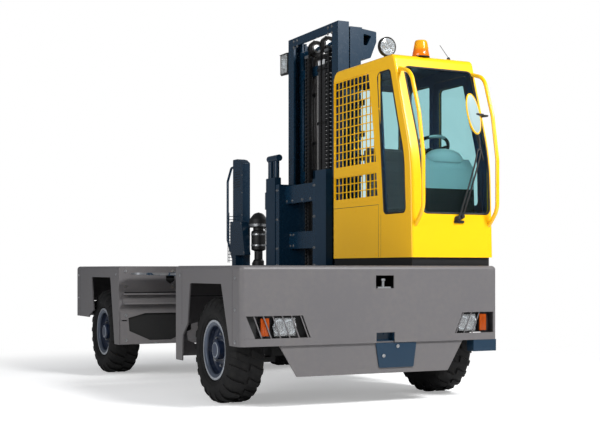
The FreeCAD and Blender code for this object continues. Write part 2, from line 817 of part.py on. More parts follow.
def mesh(outline, pitch, bar, y):
    """Welded wire grid clipped to an opening."""
    xs = [c[0] for c in outline]
    zs = [c[1] for c in outline]
    x0, x1, z0, z1 = min(xs), max(xs), min(zs), max(zs)
    bars = []
    for i in range(1, int((x1 - x0) / pitch) + 1):
        x = x0 + i * pitch - bar / 2
        bars.append(block((x, x + bar), (y, y + bar), (z0, z1)))
    rows = round((z1 - z0) / pitch)
    for i in range(1, rows):
        z = z0 + i * (z1 - z0) / rows - bar / 2
        bars.append(block((x0, x1), (y + bar - 2, y + 2 * bar - 2), (z, z + bar)))
    rim = prism("xz", outline, y, y + bar)
    hole = prism("xz", inset_corners(outline, bar), y - 1, y + bar + 1)
    grid = bars[0].multiFuse(bars[1:]).common(prism("xz", outline, y - 1, y + 3 * bar))
    return fuse([grid, rim.cut(hole)])


def inset_corners(outline, inset):
    """A convex outline moved inwards by the same distance on every side."""
    moved_corners = []
    count = len(outline)
    for i in range(count):
        u, v = outline[i][:2]
        before, after = outline[i - 1], outline[(i + 1) % count]
        a = Vector(u - before[0], v - before[1], 0).normalize()
        b = Vector(after[0] - u, after[1] - v, 0).normalize()
        turn = math.sin(a.getAngle(b))
        point = Vector(u, v, 0) + (b - a) * (inset / turn)
        moved_corners.append((point.x, point.y, max(outline[i][2] - inset, 1)))
    return moved_corners


def cab_side_guard():
    """The two wire grids in the wall towards the load."""
    y = cab_right + 6
    return Part.makeCompound([mesh(upper_mesh, 72, 8, y), mesh(lower_mesh, 72, 8, y)])


def windshield():
    """Curved pane that follows the pillars."""
    y = (cab_right + 60, cab_left - 24)
    outer = prism("xz", cab_outline(8), *y)
    inner = prism("xz", cab_outline(8 + glass_thickness), y[0] - 1, y[1] + 1)
    return outer.cut(inner).common(windshield_opening())


def cab_glass():
    """Quarter, side and rear panes."""
    thick = glass_thickness
    quarter = prism("xz", quarter_window, cab_right + 6, cab_right + 6 + thick)
    side = prism("xz", side_window, cab_left - 6 - thick, cab_left - 6)
    rear = prism("yz", rear_window, cab_rear + 6, cab_rear + 6 + thick)
    return Part.makeCompound([quarter, side, rear])


door_window = [
    (door_rear + 70, 1640, 40), (front_strip(1640, 160), 1640, 40),
    (front_strip(pillar_knee[1], 160), pillar_knee[1], 900),
    (front_strip(2730, 160), 2730, 40), (door_rear + 70, 2730, 40),
]


def cab_door():
    """Framed door with its hinge knuckles and recessed handle."""
    leaf = prism("xz", door_outline(door_gap), cab_left - 36, cab_left)
    grip_x = front_strip(1600, 150)
    pocket = block((grip_x - 140, grip_x + 10), (cab_left - 22, cab_left + 1), (1545, 1605))
    leaf = cut(leaf, [prism("xz", door_window, cab_left - 40, cab_left + 10), pocket])
    parts = [leaf, block((grip_x - 141, grip_x + 11), (cab_left - 10, cab_left), (1567, 1583))]
    for z in door_hinge_z:
        parts.append(rod((hinge_x, hinge_y, z - 15), (hinge_x, hinge_y, z + 15), hinge_radius))
        parts.append(block((hinge_x, door_rear + 10), (hinge_y - 5, hinge_y + 5), (z - 15, z + 15)))
    bore = rod((hinge_x, hinge_y, door_bottom), (hinge_x, hinge_y, door_head), 6 + running_gap)
    return fuse(parts).cut(bore)


def door_glass():
    return prism("xz", door_window, cab_left - 22, cab_left - 22 + glass_thickness)


def cab_floor():
    """Plinth that seats the cab on the deck, with the suspension box of the seat."""
    plinth = block((cab_rear + 12, cab_front_low - 22), (cab_right + 12, cab_left - 26),
                   (deck_top, cab_floor_z))
    seat_box = prism("xz", [(1130, cab_floor_z), (1480, cab_floor_z), (1450, 1500), (1160, 1500)],
                     620, 940)
    return fuse([plinth, seat_box])


def seat():
    """Cushion and backrest in one soft form."""
    profile = [(1080, 1500.3, 30), (1560, 1500.3, 60), (1560, 1640, 60), (1200, 1620, 40),
               (1130, 2230, 50), (1010, 2230, 50), (1060, 1600, 60)]
    return prism("xz", profile, 560, 1000)


def dashboard():
    """Front console with the steering column and wheel."""
    front = cab_front_low - 92
    console = prism("xz", [(1960, cab_floor_z), (front - 10, cab_floor_z), (front - 40, 1960, 30),
                           (front - 120, 2050, 30), (1900, 1990, 30), (1900, 1860, 30),
                           (1985, 1780, 40)], 560, 1080)
    hub = Vector(1790, 800, 2120)
    axis = Vector(-0.62, 0, 0.785)
    rim = Part.makeTorus(185, 15, hub, axis)
    boss = Part.makeCylinder(45, 40, hub - axis * 45, axis)
    column = Part.makeCylinder(26, 330, hub - axis * 360, axis)
    spokes = []
    for angle in (90, 210, 330):
        across = axis.cross(Vector(0, 1, 0))
        way = Vector(0, 1, 0) * math.cos(math.radians(angle))
        way = way + across * math.sin(math.radians(angle))
        spokes.append(Part.makeCylinder(11, 180, hub - axis * 15, way))
    return fuse([console, rim, boss, column] + spokes)


grab_radius = 17.0
grab_x = front_x + 43


def grab_bars():
    """Bent tubes ahead of both front pillars."""
    head_z, foot_z = 2800, 1450
    bars = []
    for y in (cab_right + 42, cab_left - 30):
        points = [(pillar_x(head_z) - 30, y, head_z), (grab_x - 190, y, head_z - 60),
                  (grab_x - 66, y, 2390), (grab_x, y, 2020), (grab_x, y, 1590),
                  (pillar_x(foot_z) - 20, y, foot_z)]
        bars.append(bent_tube(points, 160, grab_radius).cut(cab_solid()))
    return bars


def beacon():
    """Rotating beacon on its base."""
    profile = [(0, 0), (0, 76), (24, 76, 4), (28, 70), (142, 56, 10), (146, 0)]
    return revolve(profile, (1835, 700, cab_roof_z), "z")


def roof_work_lamp():
    """Round work lamp on a stirrup behind the beacon."""
    x, y, z = 1245, 700, 3115
    body = Part.makeCylinder(88, 30, Vector(x, y, z), Vector(1, 0, 0))
    back = Part.makeCone(88, 50, 50, Vector(x, y, z), Vector(-1, 0, 0))
    post = block((x - 16, x + 16), (y - 14, y + 14), (cab_roof_z, z - 70))
    return fuse([body, back, post])


# ---------------------------------------------------------------- mast and forks
rear_plate_x = well_rear + guide_depth + 5
front_plate_x = well_front - guide_depth - 5
guide_z = guide_bottom + guide_wall + 0.3 + guide_roller_radius
inner_x = mast_half_width - upright_width
channel_room = (moving_back - moving_front) / 2 - upright_wall
carriage_plate = (365.0, 390.0)
lift_ram_x = 300.0
lift_ram_y = 768.0
lift_rod_radius = 28.0
barrel_top = 1960.0
chain_x = 130.0
pulley_radius = 75.0
pulley_y = 690.0
pulley_z = 3330.0


def both_sides(make):
    """A shape and its twin across the middle of the mast."""
    shape = make()
    return [shape, mirror_x(shape)]


def mast_carriage():
    """Welded base that rides in the guide rails of the well and carries the mast."""
    x0, x1 = rear_plate_x + side_plate, front_plate_x - side_plate
    side = [(530, 380, 50), (base_back, 380, 50), (base_back, 900, 60), (530, 900, 60)]
    parts = [prism("yz", side, rear_plate_x, x0), prism("yz", side, x1, front_plate_x)]
    parts.append(block((x0, x1), (base_front, base_back), (380, mast_foot)))
    back = block((x0, x1), (base_back - 20, base_back), (mast_foot, 900))
    window = prism("xz", [(-380, 620, 40), (380, 620, 40), (380, 820, 40), (-380, 820, 40)],
                   base_back - 21, base_back + 1)
    parts.append(back.cut(window))
    for span in ((x0, -mast_half_width - 3), (mast_half_width + 3, x1)):
        for z in (560, 700):
            parts.append(block(span, (base_front, base_back - 20), (z, z + 16)))
    for y in (600, 820):
        for face, way in ((rear_plate_x, -1), (front_plate_x, 1)):
            parts.append(rod((face, y, guide_z), (face + way * 10, y, guide_z), 20))
            parts.append(rod((face + way * 10, y, guide_z), (face + way * 56, y, guide_z),
                             guide_roller_radius))
    return fuse(parts)


def channel(front, back, foot, top):
    """One C-section upright, open towards the middle of the mast."""
    outer = block((inner_x, mast_half_width), (front, back), (foot, top))
    groove = block((inner_x - 1, mast_half_width - upright_wall),
                   (front + upright_wall, back - upright_wall), (foot - 1, top + 1))
    return outer.cut(groove)


def fixed_mast():
    """Rear uprights that stand on the base, with cross members and chain anchors."""
    parts = both_sides(lambda: channel(fixed_front, fixed_back, mast_foot, fixed_mast_top))
    tie_y = (fixed_back - 17, fixed_back + 13)
    for low, high in ((mast_foot, 560), (1990, 2090), (fixed_mast_top - 110, fixed_mast_top)):
        parts.append(block((-mast_half_width, mast_half_width), (fixed_back, tie_y[1]), (low, high)))
        parts.append(block((-inner_x, inner_x), tie_y, (low, high)))
    for x in (-chain_x, chain_x):
        parts.append(block((x - 22, x + 22), (pulley_y + pulley_radius + 7, tie_y[0]), (2010, 2070)))
    for z in (2130, 2360, 2660):
        parts.append(block((mast_half_width, mast_half_width + 150), (740, 790), (z, z + 55)))
    return fuse(parts + [mast_head_box()])


def mast_head_box():
    """Box bracket behind the head of the front upright."""
    back = fixed_back
    top = fixed_mast_top
    outline = [(back, top - 10), (1005, top - 30, 12), (1005, top - 130, 12), (940, top - 290, 20),
               (back, top - 310)]
    box = prism("yz", outline, mast_half_width - 190, mast_half_width)
    slot = prism("yz", [(back + 30, top - 60, 10), (950, top - 75, 10), (900, top - 170, 10),
                        (back + 30, top - 170, 10)], mast_half_width - 160, mast_half_width + 1)
    return box.cut(slot)


def lift_cylinders():
    """Lift barrels with their glands."""
    barrels = []
    for x in (-lift_ram_x, lift_ram_x):
        barrel = rod((x, lift_ram_y, mast_foot), (x, lift_ram_y, barrel_top), 42)
        bore = rod((x, lift_ram_y, mast_foot + 40), (x, lift_ram_y, barrel_top - 50), 34)
        gland = rod((x, lift_ram_y, barrel_top - 60), (x, lift_ram_y, barrel_top + 1),
                    lift_rod_radius + running_gap)
        barrels.append(barrel.cut(bore).cut(gland))
    return Part.makeCompound(barrels)


def lift_rods():
    """Polished rods between the barrels and the head of the moving mast."""
    y = lift_ram_y
    return Part.makeCompound([
        rod((x, y, mast_foot + 60), (x, y, pulley_z - 30), lift_rod_radius)
        for x in (-lift_ram_x, lift_ram_x)])


def moving_mast():
    """Front uprights with the head crossbar, ties, guide arms and the pulley shaft."""
    parts = both_sides(lambda: channel(moving_front, moving_back, moving_foot, mast_top))
    parts.append(block((-inner_x, inner_x), (moving_front, moving_front + 20),
                       (mast_top - crossbar_height, mast_top)))
    for low, high in ((moving_foot + 20, 600), (2000, 2100), (3060, 3160)):
        parts.append(block((-inner_x, inner_x), (moving_back - 14, moving_back), (low, high)))
    head_z = (pulley_z - 30, pulley_z + 10)
    for side in (-1, 1):
        parts.append(block(sorted([side * 220, side * inner_x]), (moving_back - 14, 805), head_z))
        for z in (580, 1280):
            arm_x = sorted([side * (inner_x - 25), side * (inner_x - 5)])
            parts.append(block(arm_x, (moving_back - 14, 800), (z - 60, z + 60)))
            pad_x = sorted([side * (inner_x - 6), side * (inner_x + 1)])
            parts.append(block(pad_x, (moving_back - 14, moving_back - 1), (z - 60, z + 60)))
            start = (side * (inner_x - 10), (fixed_front + fixed_back) / 2, z)
            end = (side * (mast_half_width - upright_wall - 6), start[1], z)
            parts.append(rod(start, end, channel_room - 3))
    parts.append(rod((-inner_x, pulley_y, pulley_z), (inner_x, pulley_y, pulley_z), 18))
    return fuse(parts)


def lift_chains():
    """Leaf chains over their pulleys at the head of the moving mast."""
    sets = []
    for x in (-chain_x, chain_x):
        axle_start, axle_end = (x - 24, pulley_y, pulley_z), (x + 24, pulley_y, pulley_z)
        wheel = rod(axle_start, axle_end, pulley_radius)
        wrap = ring((x - 15, pulley_y, pulley_z), (x + 15, pulley_y, pulley_z),
                    pulley_radius + 6, pulley_radius - 6)
        lower = block((x - 40, x + 40), (pulley_y - 100, pulley_y + 100), (pulley_z - 100, pulley_z))
        strands = [wheel, wrap.cut(lower)]
        for y, foot in ((pulley_y - pulley_radius, 1240), (pulley_y + pulley_radius, 640)):
            strands.append(block((x - 15, x + 15), (y - 6, y + 6), (foot, pulley_z)))
        hole = rod((x - 30, pulley_y, pulley_z), (x + 30, pulley_y, pulley_z), 18 + running_gap)
        sets.append(fuse(strands).cut(hole))
    return Part.makeCompound(sets)


def fork_carriage():
    """Side plates, cross bars, tilt shaft and mast rollers."""
    plate = [(455, 1060, 20), (680, 1120, 20), (680, 1830, 20), (648, 1960, 20), (455, 1960, 20)]
    parts = both_sides(lambda: prism("yz", plate, *carriage_plate))
    edge = carriage_plate[1]
    post_edge = fork_outer - fork_width - 8
    for post in ((-post_edge, -carriage_plate[0]), (carriage_plate[1] - 1, post_edge)):
        parts.append(block(post, (fork_front + 6, 470), (1080, 1960)))
    parts.append(block((-fork_outer - 90, -fork_outer - 8), (tilt_y - 95, tilt_y + 40),
                       (tilt_z - 130, tilt_z + 50)))
    parts.append(prism("xz", [(-edge, 1760), (250, 1760), (edge - 60, 1940), (-edge, 1940)], 456, 526))
    parts.append(block((-edge, edge), (500, 560), (1300, 1470)))
    parts.append(rod((-fork_outer - 18, tilt_y, tilt_z), (fork_outer + 18, tilt_y, tilt_z),
                     tilt_shaft_radius))
    roller_y = (moving_front + moving_back) / 2
    for z in (1200, 1870):
        for side in (-1, 1):
            start = (side * (edge - 2), roller_y, z)
            parts.append(rod(start, (side * (inner_x + 4), roller_y, z), 16))
            parts.append(rod((side * (inner_x + 4), roller_y, z),
                             (side * (mast_half_width - upright_wall - 6), roller_y, z),
                             channel_room - 3))
    for x in (-chain_x, chain_x):
        parts.append(block((x - 22, x + 22), (560, pulley_y - pulley_radius - 6.5), (1300, 1390)))
    return fuse(parts)


def fork(low_x):
    """Forged fork arm with its tilt boss."""
    back = fork_front + fork_thickness
    bottom = fork_top - fork_heel
    side = [(back, shank_top, 12), (back, bottom, 75), (fork_front - 80, bottom),
            (fork_tip, fork_top - fork_tip_thickness, 6), (fork_tip, fork_top, 3),
            (fork_front, fork_top, 18), (fork_front, shank_top, 12)]
    side.reverse()
    x0, x1 = low_x, low_x + fork_width
    blank = prism("yz", side, x0, x1)
    plan = [(x0, back + 1), (x0, fork_tip - 1, 90), (x1, fork_tip - 1, 90), (x1, back + 1)]
    blank = blank.common(prism("xy", plan, bottom - 1, shank_top + 1))
    boss = rod((x0, tilt_y, tilt_z), (x1, tilt_y, tilt_z), 58)
    bore = rod((x0 - 1, tilt_y, tilt_z), (x1 + 1, tilt_y, tilt_z), tilt_shaft_radius + running_gap)
    return fuse([blank, boss]).cut(bore)


def forks():
    """Both fork arms, with the levelling rams on the rear one."""
    return Part.makeCompound([fork(-fork_outer), fork(fork_outer - fork_width), fork_ram()])


def fork_ram():
    """Twin levelling rams with their yoke, standing on the rear fork arm."""
    y = fork_front + fork_thickness / 2
    parts = []
    for x in (-fork_outer + 50, -fork_outer + 185):
        parts.append(rod((x, y, shank_top), (x, y, 2210), 30))
    parts.append(rod((-fork_outer + 10, y, 2240), (-fork_outer + 255, y, 2240), 34))
    return fuse(parts)


def mast_work_lamp():
    """Square work lamp on the rear upright, turned towards the load."""
    lens_y, back_y = 600.0, 740.0
    outer = -mast_half_width - 43
    housing = prism("yz", [(lens_y, 3145, 8), (back_y, 3185, 20), (back_y, 3350, 20),
                           (lens_y, 3375, 8)], outer - 185, outer)
    arm = block((outer, -mast_half_width), (725, 738), (3255, 3305))
    return fuse([housing, arm])


# ---------------------------------------------------------------- export
def export(name, shape):
    """Write one sub-part as parts/NAME.step."""
    if isinstance(shape, list):
        shape = Part.makeCompound(shape)
    shape.exportStep("parts/" + name + ".step")
    print(name, len(shape.Solids), "solids", shape.isValid())


def main():
    os.makedirs("parts", exist_ok=True)
    export("front_frame", front_frame())
    export("rear_frame", rear_frame())
    export("backbone", backbone())
    export("oil_tank", oil_tank())
    export("front_well_wall", well_wall(well_front, 1))
    export("rear_well_wall", well_wall(well_rear, -1))
    export("front_deck", deck(well_front, front_x))
    export("rear_deck", rear_deck())
    export("front_fascia", front_fascia())
    export("rear_fascia", rear_fascia())
    export("side_sill", side_sill())
    export("front_load_skirt", skirt(well_front, front_x, front_arch_outline(), -1))
    export("front_cab_skirt", skirt(well_front, front_x, front_arch_outline(), 1))
    export("rear_load_skirt", skirt(well_rear, rear_x, rear_arch_outline(), -1))
    export("rear_cab_skirt", skirt(well_rear, rear_x, rear_arch_outline(), 1))
    export("fuel_tank", fuel_tank())
    export("cab_steps", cab_steps())
    export("tow_pin", tow_pin())
    export("front_step", front_step())
    export("headlamps", headlamps())
    export("front_axle", front_axle())
    export("rear_axle", rear_axle())
    export("engine_block", engine_block())
    export("exhaust_stack", exhaust_stack())
    export("air_cleaner", air_cleaner())
    export("deck_handrail", deck_handrail())
    export("engine_hood", engine_hood())
    for name, side in (("left", 1), ("right", -1)):
        export(name + "_knuckle", knuckle(side))
        for end, x in (("front", front_axle_x), ("rear", rear_axle_x)):
            export(end + "_" + name + "_rim", wheel_part(rim_profile, x, side))
            export(end + "_" + name + "_tyre", wheel_part(tyre_profile, x, side))
    export("cab_floor", cab_floor())
    export("cab_frame", cab_frame())
    export("cab_roof", cab_roof())
    export("cab_front_panel", cab_front_panel())
    export("cab_side_guard", cab_side_guard())
    export("windshield", windshield())
    export("cab_glass", cab_glass())
    export("cab_door", cab_door())
    export("door_glass", door_glass())
    export("seat", seat())
    export("dashboard", dashboard())
    export("grab_bars", grab_bars())
    export("beacon", beacon())
    export("roof_work_lamp", roof_work_lamp())
    export("mast_carriage", mast_carriage())
    export("fixed_mast", fixed_mast())
    export("mast_work_lamp", mast_work_lamp())
    export("lift_cylinders", lift_cylinders())
    export("lift_rods", lift_rods())
    export("moving_mast", moving_mast())
    export("lift_chains", lift_chains())
    export("fork_carriage", fork_carriage())
    export("forks", forks())


main()
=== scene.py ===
import math
import bmesh
import bpy
from mathutils import Matrix, Vector


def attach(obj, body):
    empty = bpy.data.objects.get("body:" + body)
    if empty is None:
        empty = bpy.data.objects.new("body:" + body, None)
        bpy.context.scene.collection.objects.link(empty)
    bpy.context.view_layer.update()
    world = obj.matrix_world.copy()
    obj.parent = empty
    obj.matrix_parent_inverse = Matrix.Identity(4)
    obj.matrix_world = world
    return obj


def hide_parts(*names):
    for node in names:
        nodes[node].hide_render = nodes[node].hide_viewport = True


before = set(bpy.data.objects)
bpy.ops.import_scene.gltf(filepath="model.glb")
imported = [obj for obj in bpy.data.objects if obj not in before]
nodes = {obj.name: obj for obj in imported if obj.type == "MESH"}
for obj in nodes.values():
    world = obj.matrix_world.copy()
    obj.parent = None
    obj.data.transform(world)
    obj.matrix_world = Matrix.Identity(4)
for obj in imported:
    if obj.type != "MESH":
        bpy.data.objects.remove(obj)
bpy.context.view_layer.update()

# ---- The place where the truck stands ----
# A plain pale studio floor fades into a white surround. A broad soft lamp stands high in front of the
# truck, with weaker ones on the load side and the cab side. The view is level, from the front corner on
# the load side.
scene = bpy.context.scene
scene.view_settings.view_transform = "Standard"


def srgb(code):
    """The linear colour of an sRGB hex value such as "#f4c41c"."""
    parts = [int(code[i:i + 2], 16) / 255 for i in (1, 3, 5)]
    return tuple(((c + 0.055) / 1.055) ** 2.4 if c > 0.04045 else c / 12.92 for c in parts) + (1.0,)


def add(tree, kind, inputs=(), **settings):
    """One node with its settings; inputs gives each socket a value or a link."""
    node = tree.nodes.new(kind)
    for name, value in settings.items():
        setattr(node, name, value)
    for socket, value in dict(inputs).items():
        if isinstance(value, bpy.types.NodeSocket):
            tree.links.new(value, node.inputs[socket])
        else:
            node.inputs[socket].default_value = value
    return node


def place(name, mesh):
    """A new object for a mesh whose points are already where they belong."""
    piece = bpy.data.objects.new(name, mesh)
    scene.collection.objects.link(piece)
    return piece


camera_data = bpy.data.cameras.new("camera")
camera_data.sensor_width = 36
camera_data.lens = 68.54
camera_data.shift_y = 0.0899
camera_data.clip_end = 300
camera = place("camera", camera_data)
view_turn = math.radians(26.42)
view_way = Vector((-math.cos(view_turn), math.sin(view_turn), 0))
camera.location = (10.219, -4.634, 1.093)
camera.rotation_euler = view_way.to_track_quat("-Z", "Y").to_euler()
scene.camera = camera

floor_edge, fade_from, fade_to = 90, 2.4, 5.2
floor_mesh = bpy.data.meshes.new("studio_floor")
floor_mesh.from_pydata([(-floor_edge, -floor_edge, 0), (floor_edge, -floor_edge, 0),
                        (floor_edge, floor_edge, 0), (-floor_edge, floor_edge, 0)], [], [(0, 1, 2, 3)])
floor = place("studio_floor", floor_mesh)
floor_paint = bpy.data.materials.new("pale_studio_floor")
floor_paint.use_nodes = True
tree = floor_paint.node_tree
tree.nodes.clear()
ray = add(tree, "ShaderNodeLightPath")
seen = add(tree, "ShaderNodeMath", {0: ray.outputs["Is Camera Ray"], 1: ray.outputs["Is Transmission Ray"]},
           operation="MAXIMUM")
spot = add(tree, "ShaderNodeTexCoord")
far = add(tree, "ShaderNodeVectorMath", {0: spot.outputs["Object"]}, operation="LENGTH")
fade = add(tree, "ShaderNodeMapRange", {"Value": far.outputs["Value"], "From Min": fade_from,
                                        "From Max": fade_to}, interpolation_type="SMOOTHSTEP")
matt = add(tree, "ShaderNodeBsdfDiffuse", {"Color": srgb("#f6f6f6")})
lift = add(tree, "ShaderNodeEmission", {"Color": srgb("#ffffff"), "Strength": 0.34})
near = add(tree, "ShaderNodeAddShader", {0: matt.outputs[0], 1: lift.outputs[0]})
white = add(tree, "ShaderNodeEmission", {"Color": srgb("#ffffff"), "Strength": 1.0})
shown = add(tree, "ShaderNodeMixShader", {"Fac": fade.outputs[0], 1: near.outputs[0], 2: white.outputs[0]})
mixed = add(tree, "ShaderNodeMixShader", {"Fac": seen.outputs[0], 1: matt.outputs[0], 2: shown.outputs[0]})
add(tree, "ShaderNodeOutputMaterial", {"Surface": mixed.outputs[0]})
floor_mesh.materials.append(floor_paint)

surround = bpy.data.worlds.new("surround")
surround.use_nodes = True
scene.world = surround
tree = surround.node_tree
tree.nodes.clear()
ray = add(tree, "ShaderNodeLightPath")
seen = add(tree, "ShaderNodeMath", {0: ray.outputs["Is Camera Ray"], 1: ray.outputs["Is Transmission Ray"]},
           operation="MAXIMUM")
dim = add(tree, "ShaderNodeBackground", {"Color": srgb("#eef2f8"), "Strength": 0.22})
bright = add(tree, "ShaderNodeBackground", {"Color": srgb("#ffffff"), "Strength": 1.0})
mixed = add(tree, "ShaderNodeMixShader", {"Fac": seen.outputs[0], 1: dim.outputs[0], 2: bright.outputs[0]})
add(tree, "ShaderNodeOutputWorld", {"Surface": mixed.outputs[0]})

for name, spot, power, side in (("front_lamp", (8.4, 3.0, 7.2), 1080, 2.6),
                                ("load_side_lamp", (4.2, -9.0, 4.5), 500, 5.0),
                                ("cab_side_lamp", (-4.0, 9.0, 6.0), 220, 6.0)):
    lamp_data = bpy.data.lights.new(name, "AREA")
    lamp_data.energy = power
    lamp_data.size = side
    lamp = place(name, lamp_data)
    lamp.location = spot
    lamp.rotation_euler = (Vector((0, 0, 1.3)) - Vector(spot)).to_track_quat("-Z", "Y").to_euler()

# ---- Paints of the welded steelwork ----
# Bodywork, cab, mast and chassis are welded from plate and sprayed with two-pack enamel. The coat is even
# in colour with a faint peel, and dust dulls it in soft patches and towards the ground.


def surface(name, **values):
    """A new Principled material with plain socket values."""
    paint = bpy.data.materials.new(name)
    paint.use_nodes = True
    shader = paint.node_tree.nodes["Principled BSDF"]
    for label, value in values.items():
        shader.inputs[label.replace("_", " ")].default_value = value
    return paint, paint.node_tree, shader


def grain(tree, shader, size_mm, depth_mm, strength):
    """A fine uneven surface of a given grain and depth."""
    spot = add(tree, "ShaderNodeTexCoord")
    grit = add(tree, "ShaderNodeTexNoise", {"Vector": spot.outputs["Object"], "Scale": 1000 / size_mm / 2,
                                            "Detail": 3.0})
    bump = add(tree, "ShaderNodeBump", {"Strength": strength, "Distance": depth_mm / 1000,
                                        "Height": grit.outputs["Fac"]})
    tree.links.new(bump.outputs[0], shader.inputs["Normal"])


def enamel(name, coat, dusty, roughness, dust):
    """Sprayed enamel: a slow drift between clean and dusty colour, and a fine peel in the coat."""
    patch, speck, splash_top = 0.6, 0.04, 0.7
    paint, tree, shader = surface(name, Specular_IOR_Level=0.4)
    spot = add(tree, "ShaderNodeTexCoord")
    drift = add(tree, "ShaderNodeTexNoise", {"Vector": spot.outputs["Object"], "Scale": 1 / patch,
                                             "Detail": 5.0, "Roughness": 0.6})
    fine = add(tree, "ShaderNodeTexNoise", {"Vector": spot.outputs["Object"], "Scale": 1 / speck,
                                            "Detail": 3.0})
    blend = add(tree, "ShaderNodeMath", {0: drift.outputs["Fac"], 1: fine.outputs["Fac"]},
                operation="MULTIPLY")
    amount = add(tree, "ShaderNodeMapRange", {"Value": blend.outputs[0], "From Min": 0.18,
                                              "From Max": 0.42, "To Min": 0.0, "To Max": dust})
    height = add(tree, "ShaderNodeSeparateXYZ", {0: spot.outputs["Object"]})
    low = add(tree, "ShaderNodeMapRange", {"Value": height.outputs["Z"], "From Min": 0.0,
                                           "From Max": splash_top, "To Min": 0.25, "To Max": 0.0})
    total = add(tree, "ShaderNodeMath", {0: amount.outputs[0], 1: low.outputs[0]}, operation="ADD",
                use_clamp=True)
    tint = add(tree, "ShaderNodeMix", {"Factor": total.outputs[0], 6: srgb(coat), 7: srgb(dusty)},
               data_type="RGBA")
    tree.links.new(tint.outputs[2], shader.inputs["Base Color"])
    dull = add(tree, "ShaderNodeMapRange", {"Value": total.outputs[0], "To Min": roughness,
                                            "To Max": roughness + 0.22})
    tree.links.new(dull.outputs[0], shader.inputs["Roughness"])
    grain(tree, shader, 3.0, 0.6, 0.06)
    return paint


def coat_nodes(paint, *names):
    """Gives CAD pieces their paint."""
    for name in names:
        for spot in nodes[name].material_slots:
            spot.material = paint


# The grey coat is satin, the blue a deep gloss, and the black of the chassis is flat and the dustiest.
grey_enamel = enamel("stone_grey_enamel", "#615f61", "#6f6b68", roughness=0.42, dust=0.3)
blue_enamel = enamel("gentian_blue_enamel", "#0d2c42", "#152d3d", roughness=0.26, dust=0.15)
black_enamel = enamel("chassis_black_enamel", "#08090b", "#151413", roughness=0.5, dust=0.35)

coat_nodes(grey_enamel, "front_well_wall", "rear_well_wall", "front_deck", "rear_deck", "front_fascia",
           "rear_fascia", "side_sill", "front_load_skirt", "front_cab_skirt", "rear_load_skirt",
           "rear_cab_skirt", "engine_hood")
coat_nodes(blue_enamel, "mast_carriage", "fixed_mast", "moving_mast", "fork_carriage", "forks",
           "exhaust_stack", "deck_handrail", "front_step", "lift_cylinders")
coat_nodes(black_enamel, "front_frame", "rear_frame", "backbone", "oil_tank", "front_axle", "rear_axle",
           "left_knuckle", "right_knuckle", "fuel_tank", "cab_steps", "cab_floor", "engine_block")

# ---- Cab shell and its lining ----
# The cab is pressed and welded sheet in gloss cadmium yellow, lined inside with dark moulded trim.
# The trim covers every face that looks into the room; the coat shows on all the others.
cab_front, foot_z, knee_z, roof_z = 2.205, 1.190, 2.040, 2.922
knee_x, roof_x = cab_front - 0.026, 1.898
room_mid, room_half = Vector((0, 0.785, 2.045)), Vector((0, 0.391, 0.855))
room_rear, pillar_depth = 0.834, 0.024


def cab_coat():
    """Yellow enamel outside, dark lining inside the cab's room."""
    paint = enamel("cadmium_yellow_enamel", "#fbc00a", "#eeb018", roughness=0.24, dust=0.12)
    tree = paint.node_tree
    shader = tree.nodes["Principled BSDF"]
    shader.inputs["Coat Weight"].default_value = 0.35
    shader.inputs["Coat Roughness"].default_value = 0.08
    outside = shader.inputs["Base Color"].links[0].from_socket
    gloss = shader.inputs["Roughness"].links[0].from_socket
    spot = add(tree, "ShaderNodeTexCoord")
    axis = add(tree, "ShaderNodeSeparateXYZ", {0: spot.outputs["Object"]})
    across = add(tree, "ShaderNodeMath", {0: axis.outputs["Y"], 1: room_mid.y, 2: room_half.y},
                 operation="COMPARE")
    upright = add(tree, "ShaderNodeMath", {0: axis.outputs["Z"], 1: room_mid.z, 2: room_half.z},
                  operation="COMPARE")
    pillar = add(tree, "ShaderNodeMapRange", {"Value": axis.outputs["Z"], "From Min": knee_z,
                                              "From Max": roof_z, "To Min": knee_x, "To Max": roof_x})
    depth = add(tree, "ShaderNodeMath", {0: pillar.outputs[0], 1: axis.outputs["X"]}, operation="SUBTRACT")
    behind = add(tree, "ShaderNodeMath", {0: depth.outputs[0], 1: pillar_depth}, operation="GREATER_THAN")
    ahead = add(tree, "ShaderNodeMath", {0: axis.outputs["X"], 1: room_rear}, operation="GREATER_THAN")
    length = add(tree, "ShaderNodeMath", {0: behind.outputs[0], 1: ahead.outputs[0]}, operation="MULTIPLY")
    wide = add(tree, "ShaderNodeMath", {0: across.outputs[0], 1: upright.outputs[0]}, operation="MULTIPLY")
    inside = add(tree, "ShaderNodeMath", {0: length.outputs[0], 1: wide.outputs[0]}, operation="MULTIPLY")
    tint = add(tree, "ShaderNodeMix", {"Factor": inside.outputs[0], 6: outside, 7: srgb("#122b4e")},
               data_type="RGBA")
    tree.links.new(tint.outputs[2], shader.inputs["Base Color"])
    rough = add(tree, "ShaderNodeMapRange", {"Value": inside.outputs[0], "To Min": gloss, "To Max": 0.8})
    tree.links.new(rough.outputs[0], shader.inputs["Roughness"])
    return paint


yellow_enamel = cab_coat()
coat_nodes(yellow_enamel, "cab_frame", "cab_roof", "cab_front_panel", "cab_side_guard", "cab_door",
           "grab_bars")

# ---- Panes and window rubbers of the cab ----
# The panes are 6 mm safety glass with a green-blue tint. Their index is set low, so that they mirror little
# and the cab shows dark behind them. Black rubber sections hold them and follow each opening.
rubber_slot = "black_plastic"
# Float glass: quite smooth, and everything behind it takes on the tint.
tinted_glass, tree, shader = surface("green_tinted_safety_glass", Roughness=0.02, IOR=1.2,
                                     Transmission_Weight=1.0)
shader.inputs["Base Color"].default_value = srgb("#c6e4e6")
grain(tree, shader, 400.0, 0.4, 0.02)
coat_nodes(tinted_glass, "windshield", "cab_glass", "door_glass")
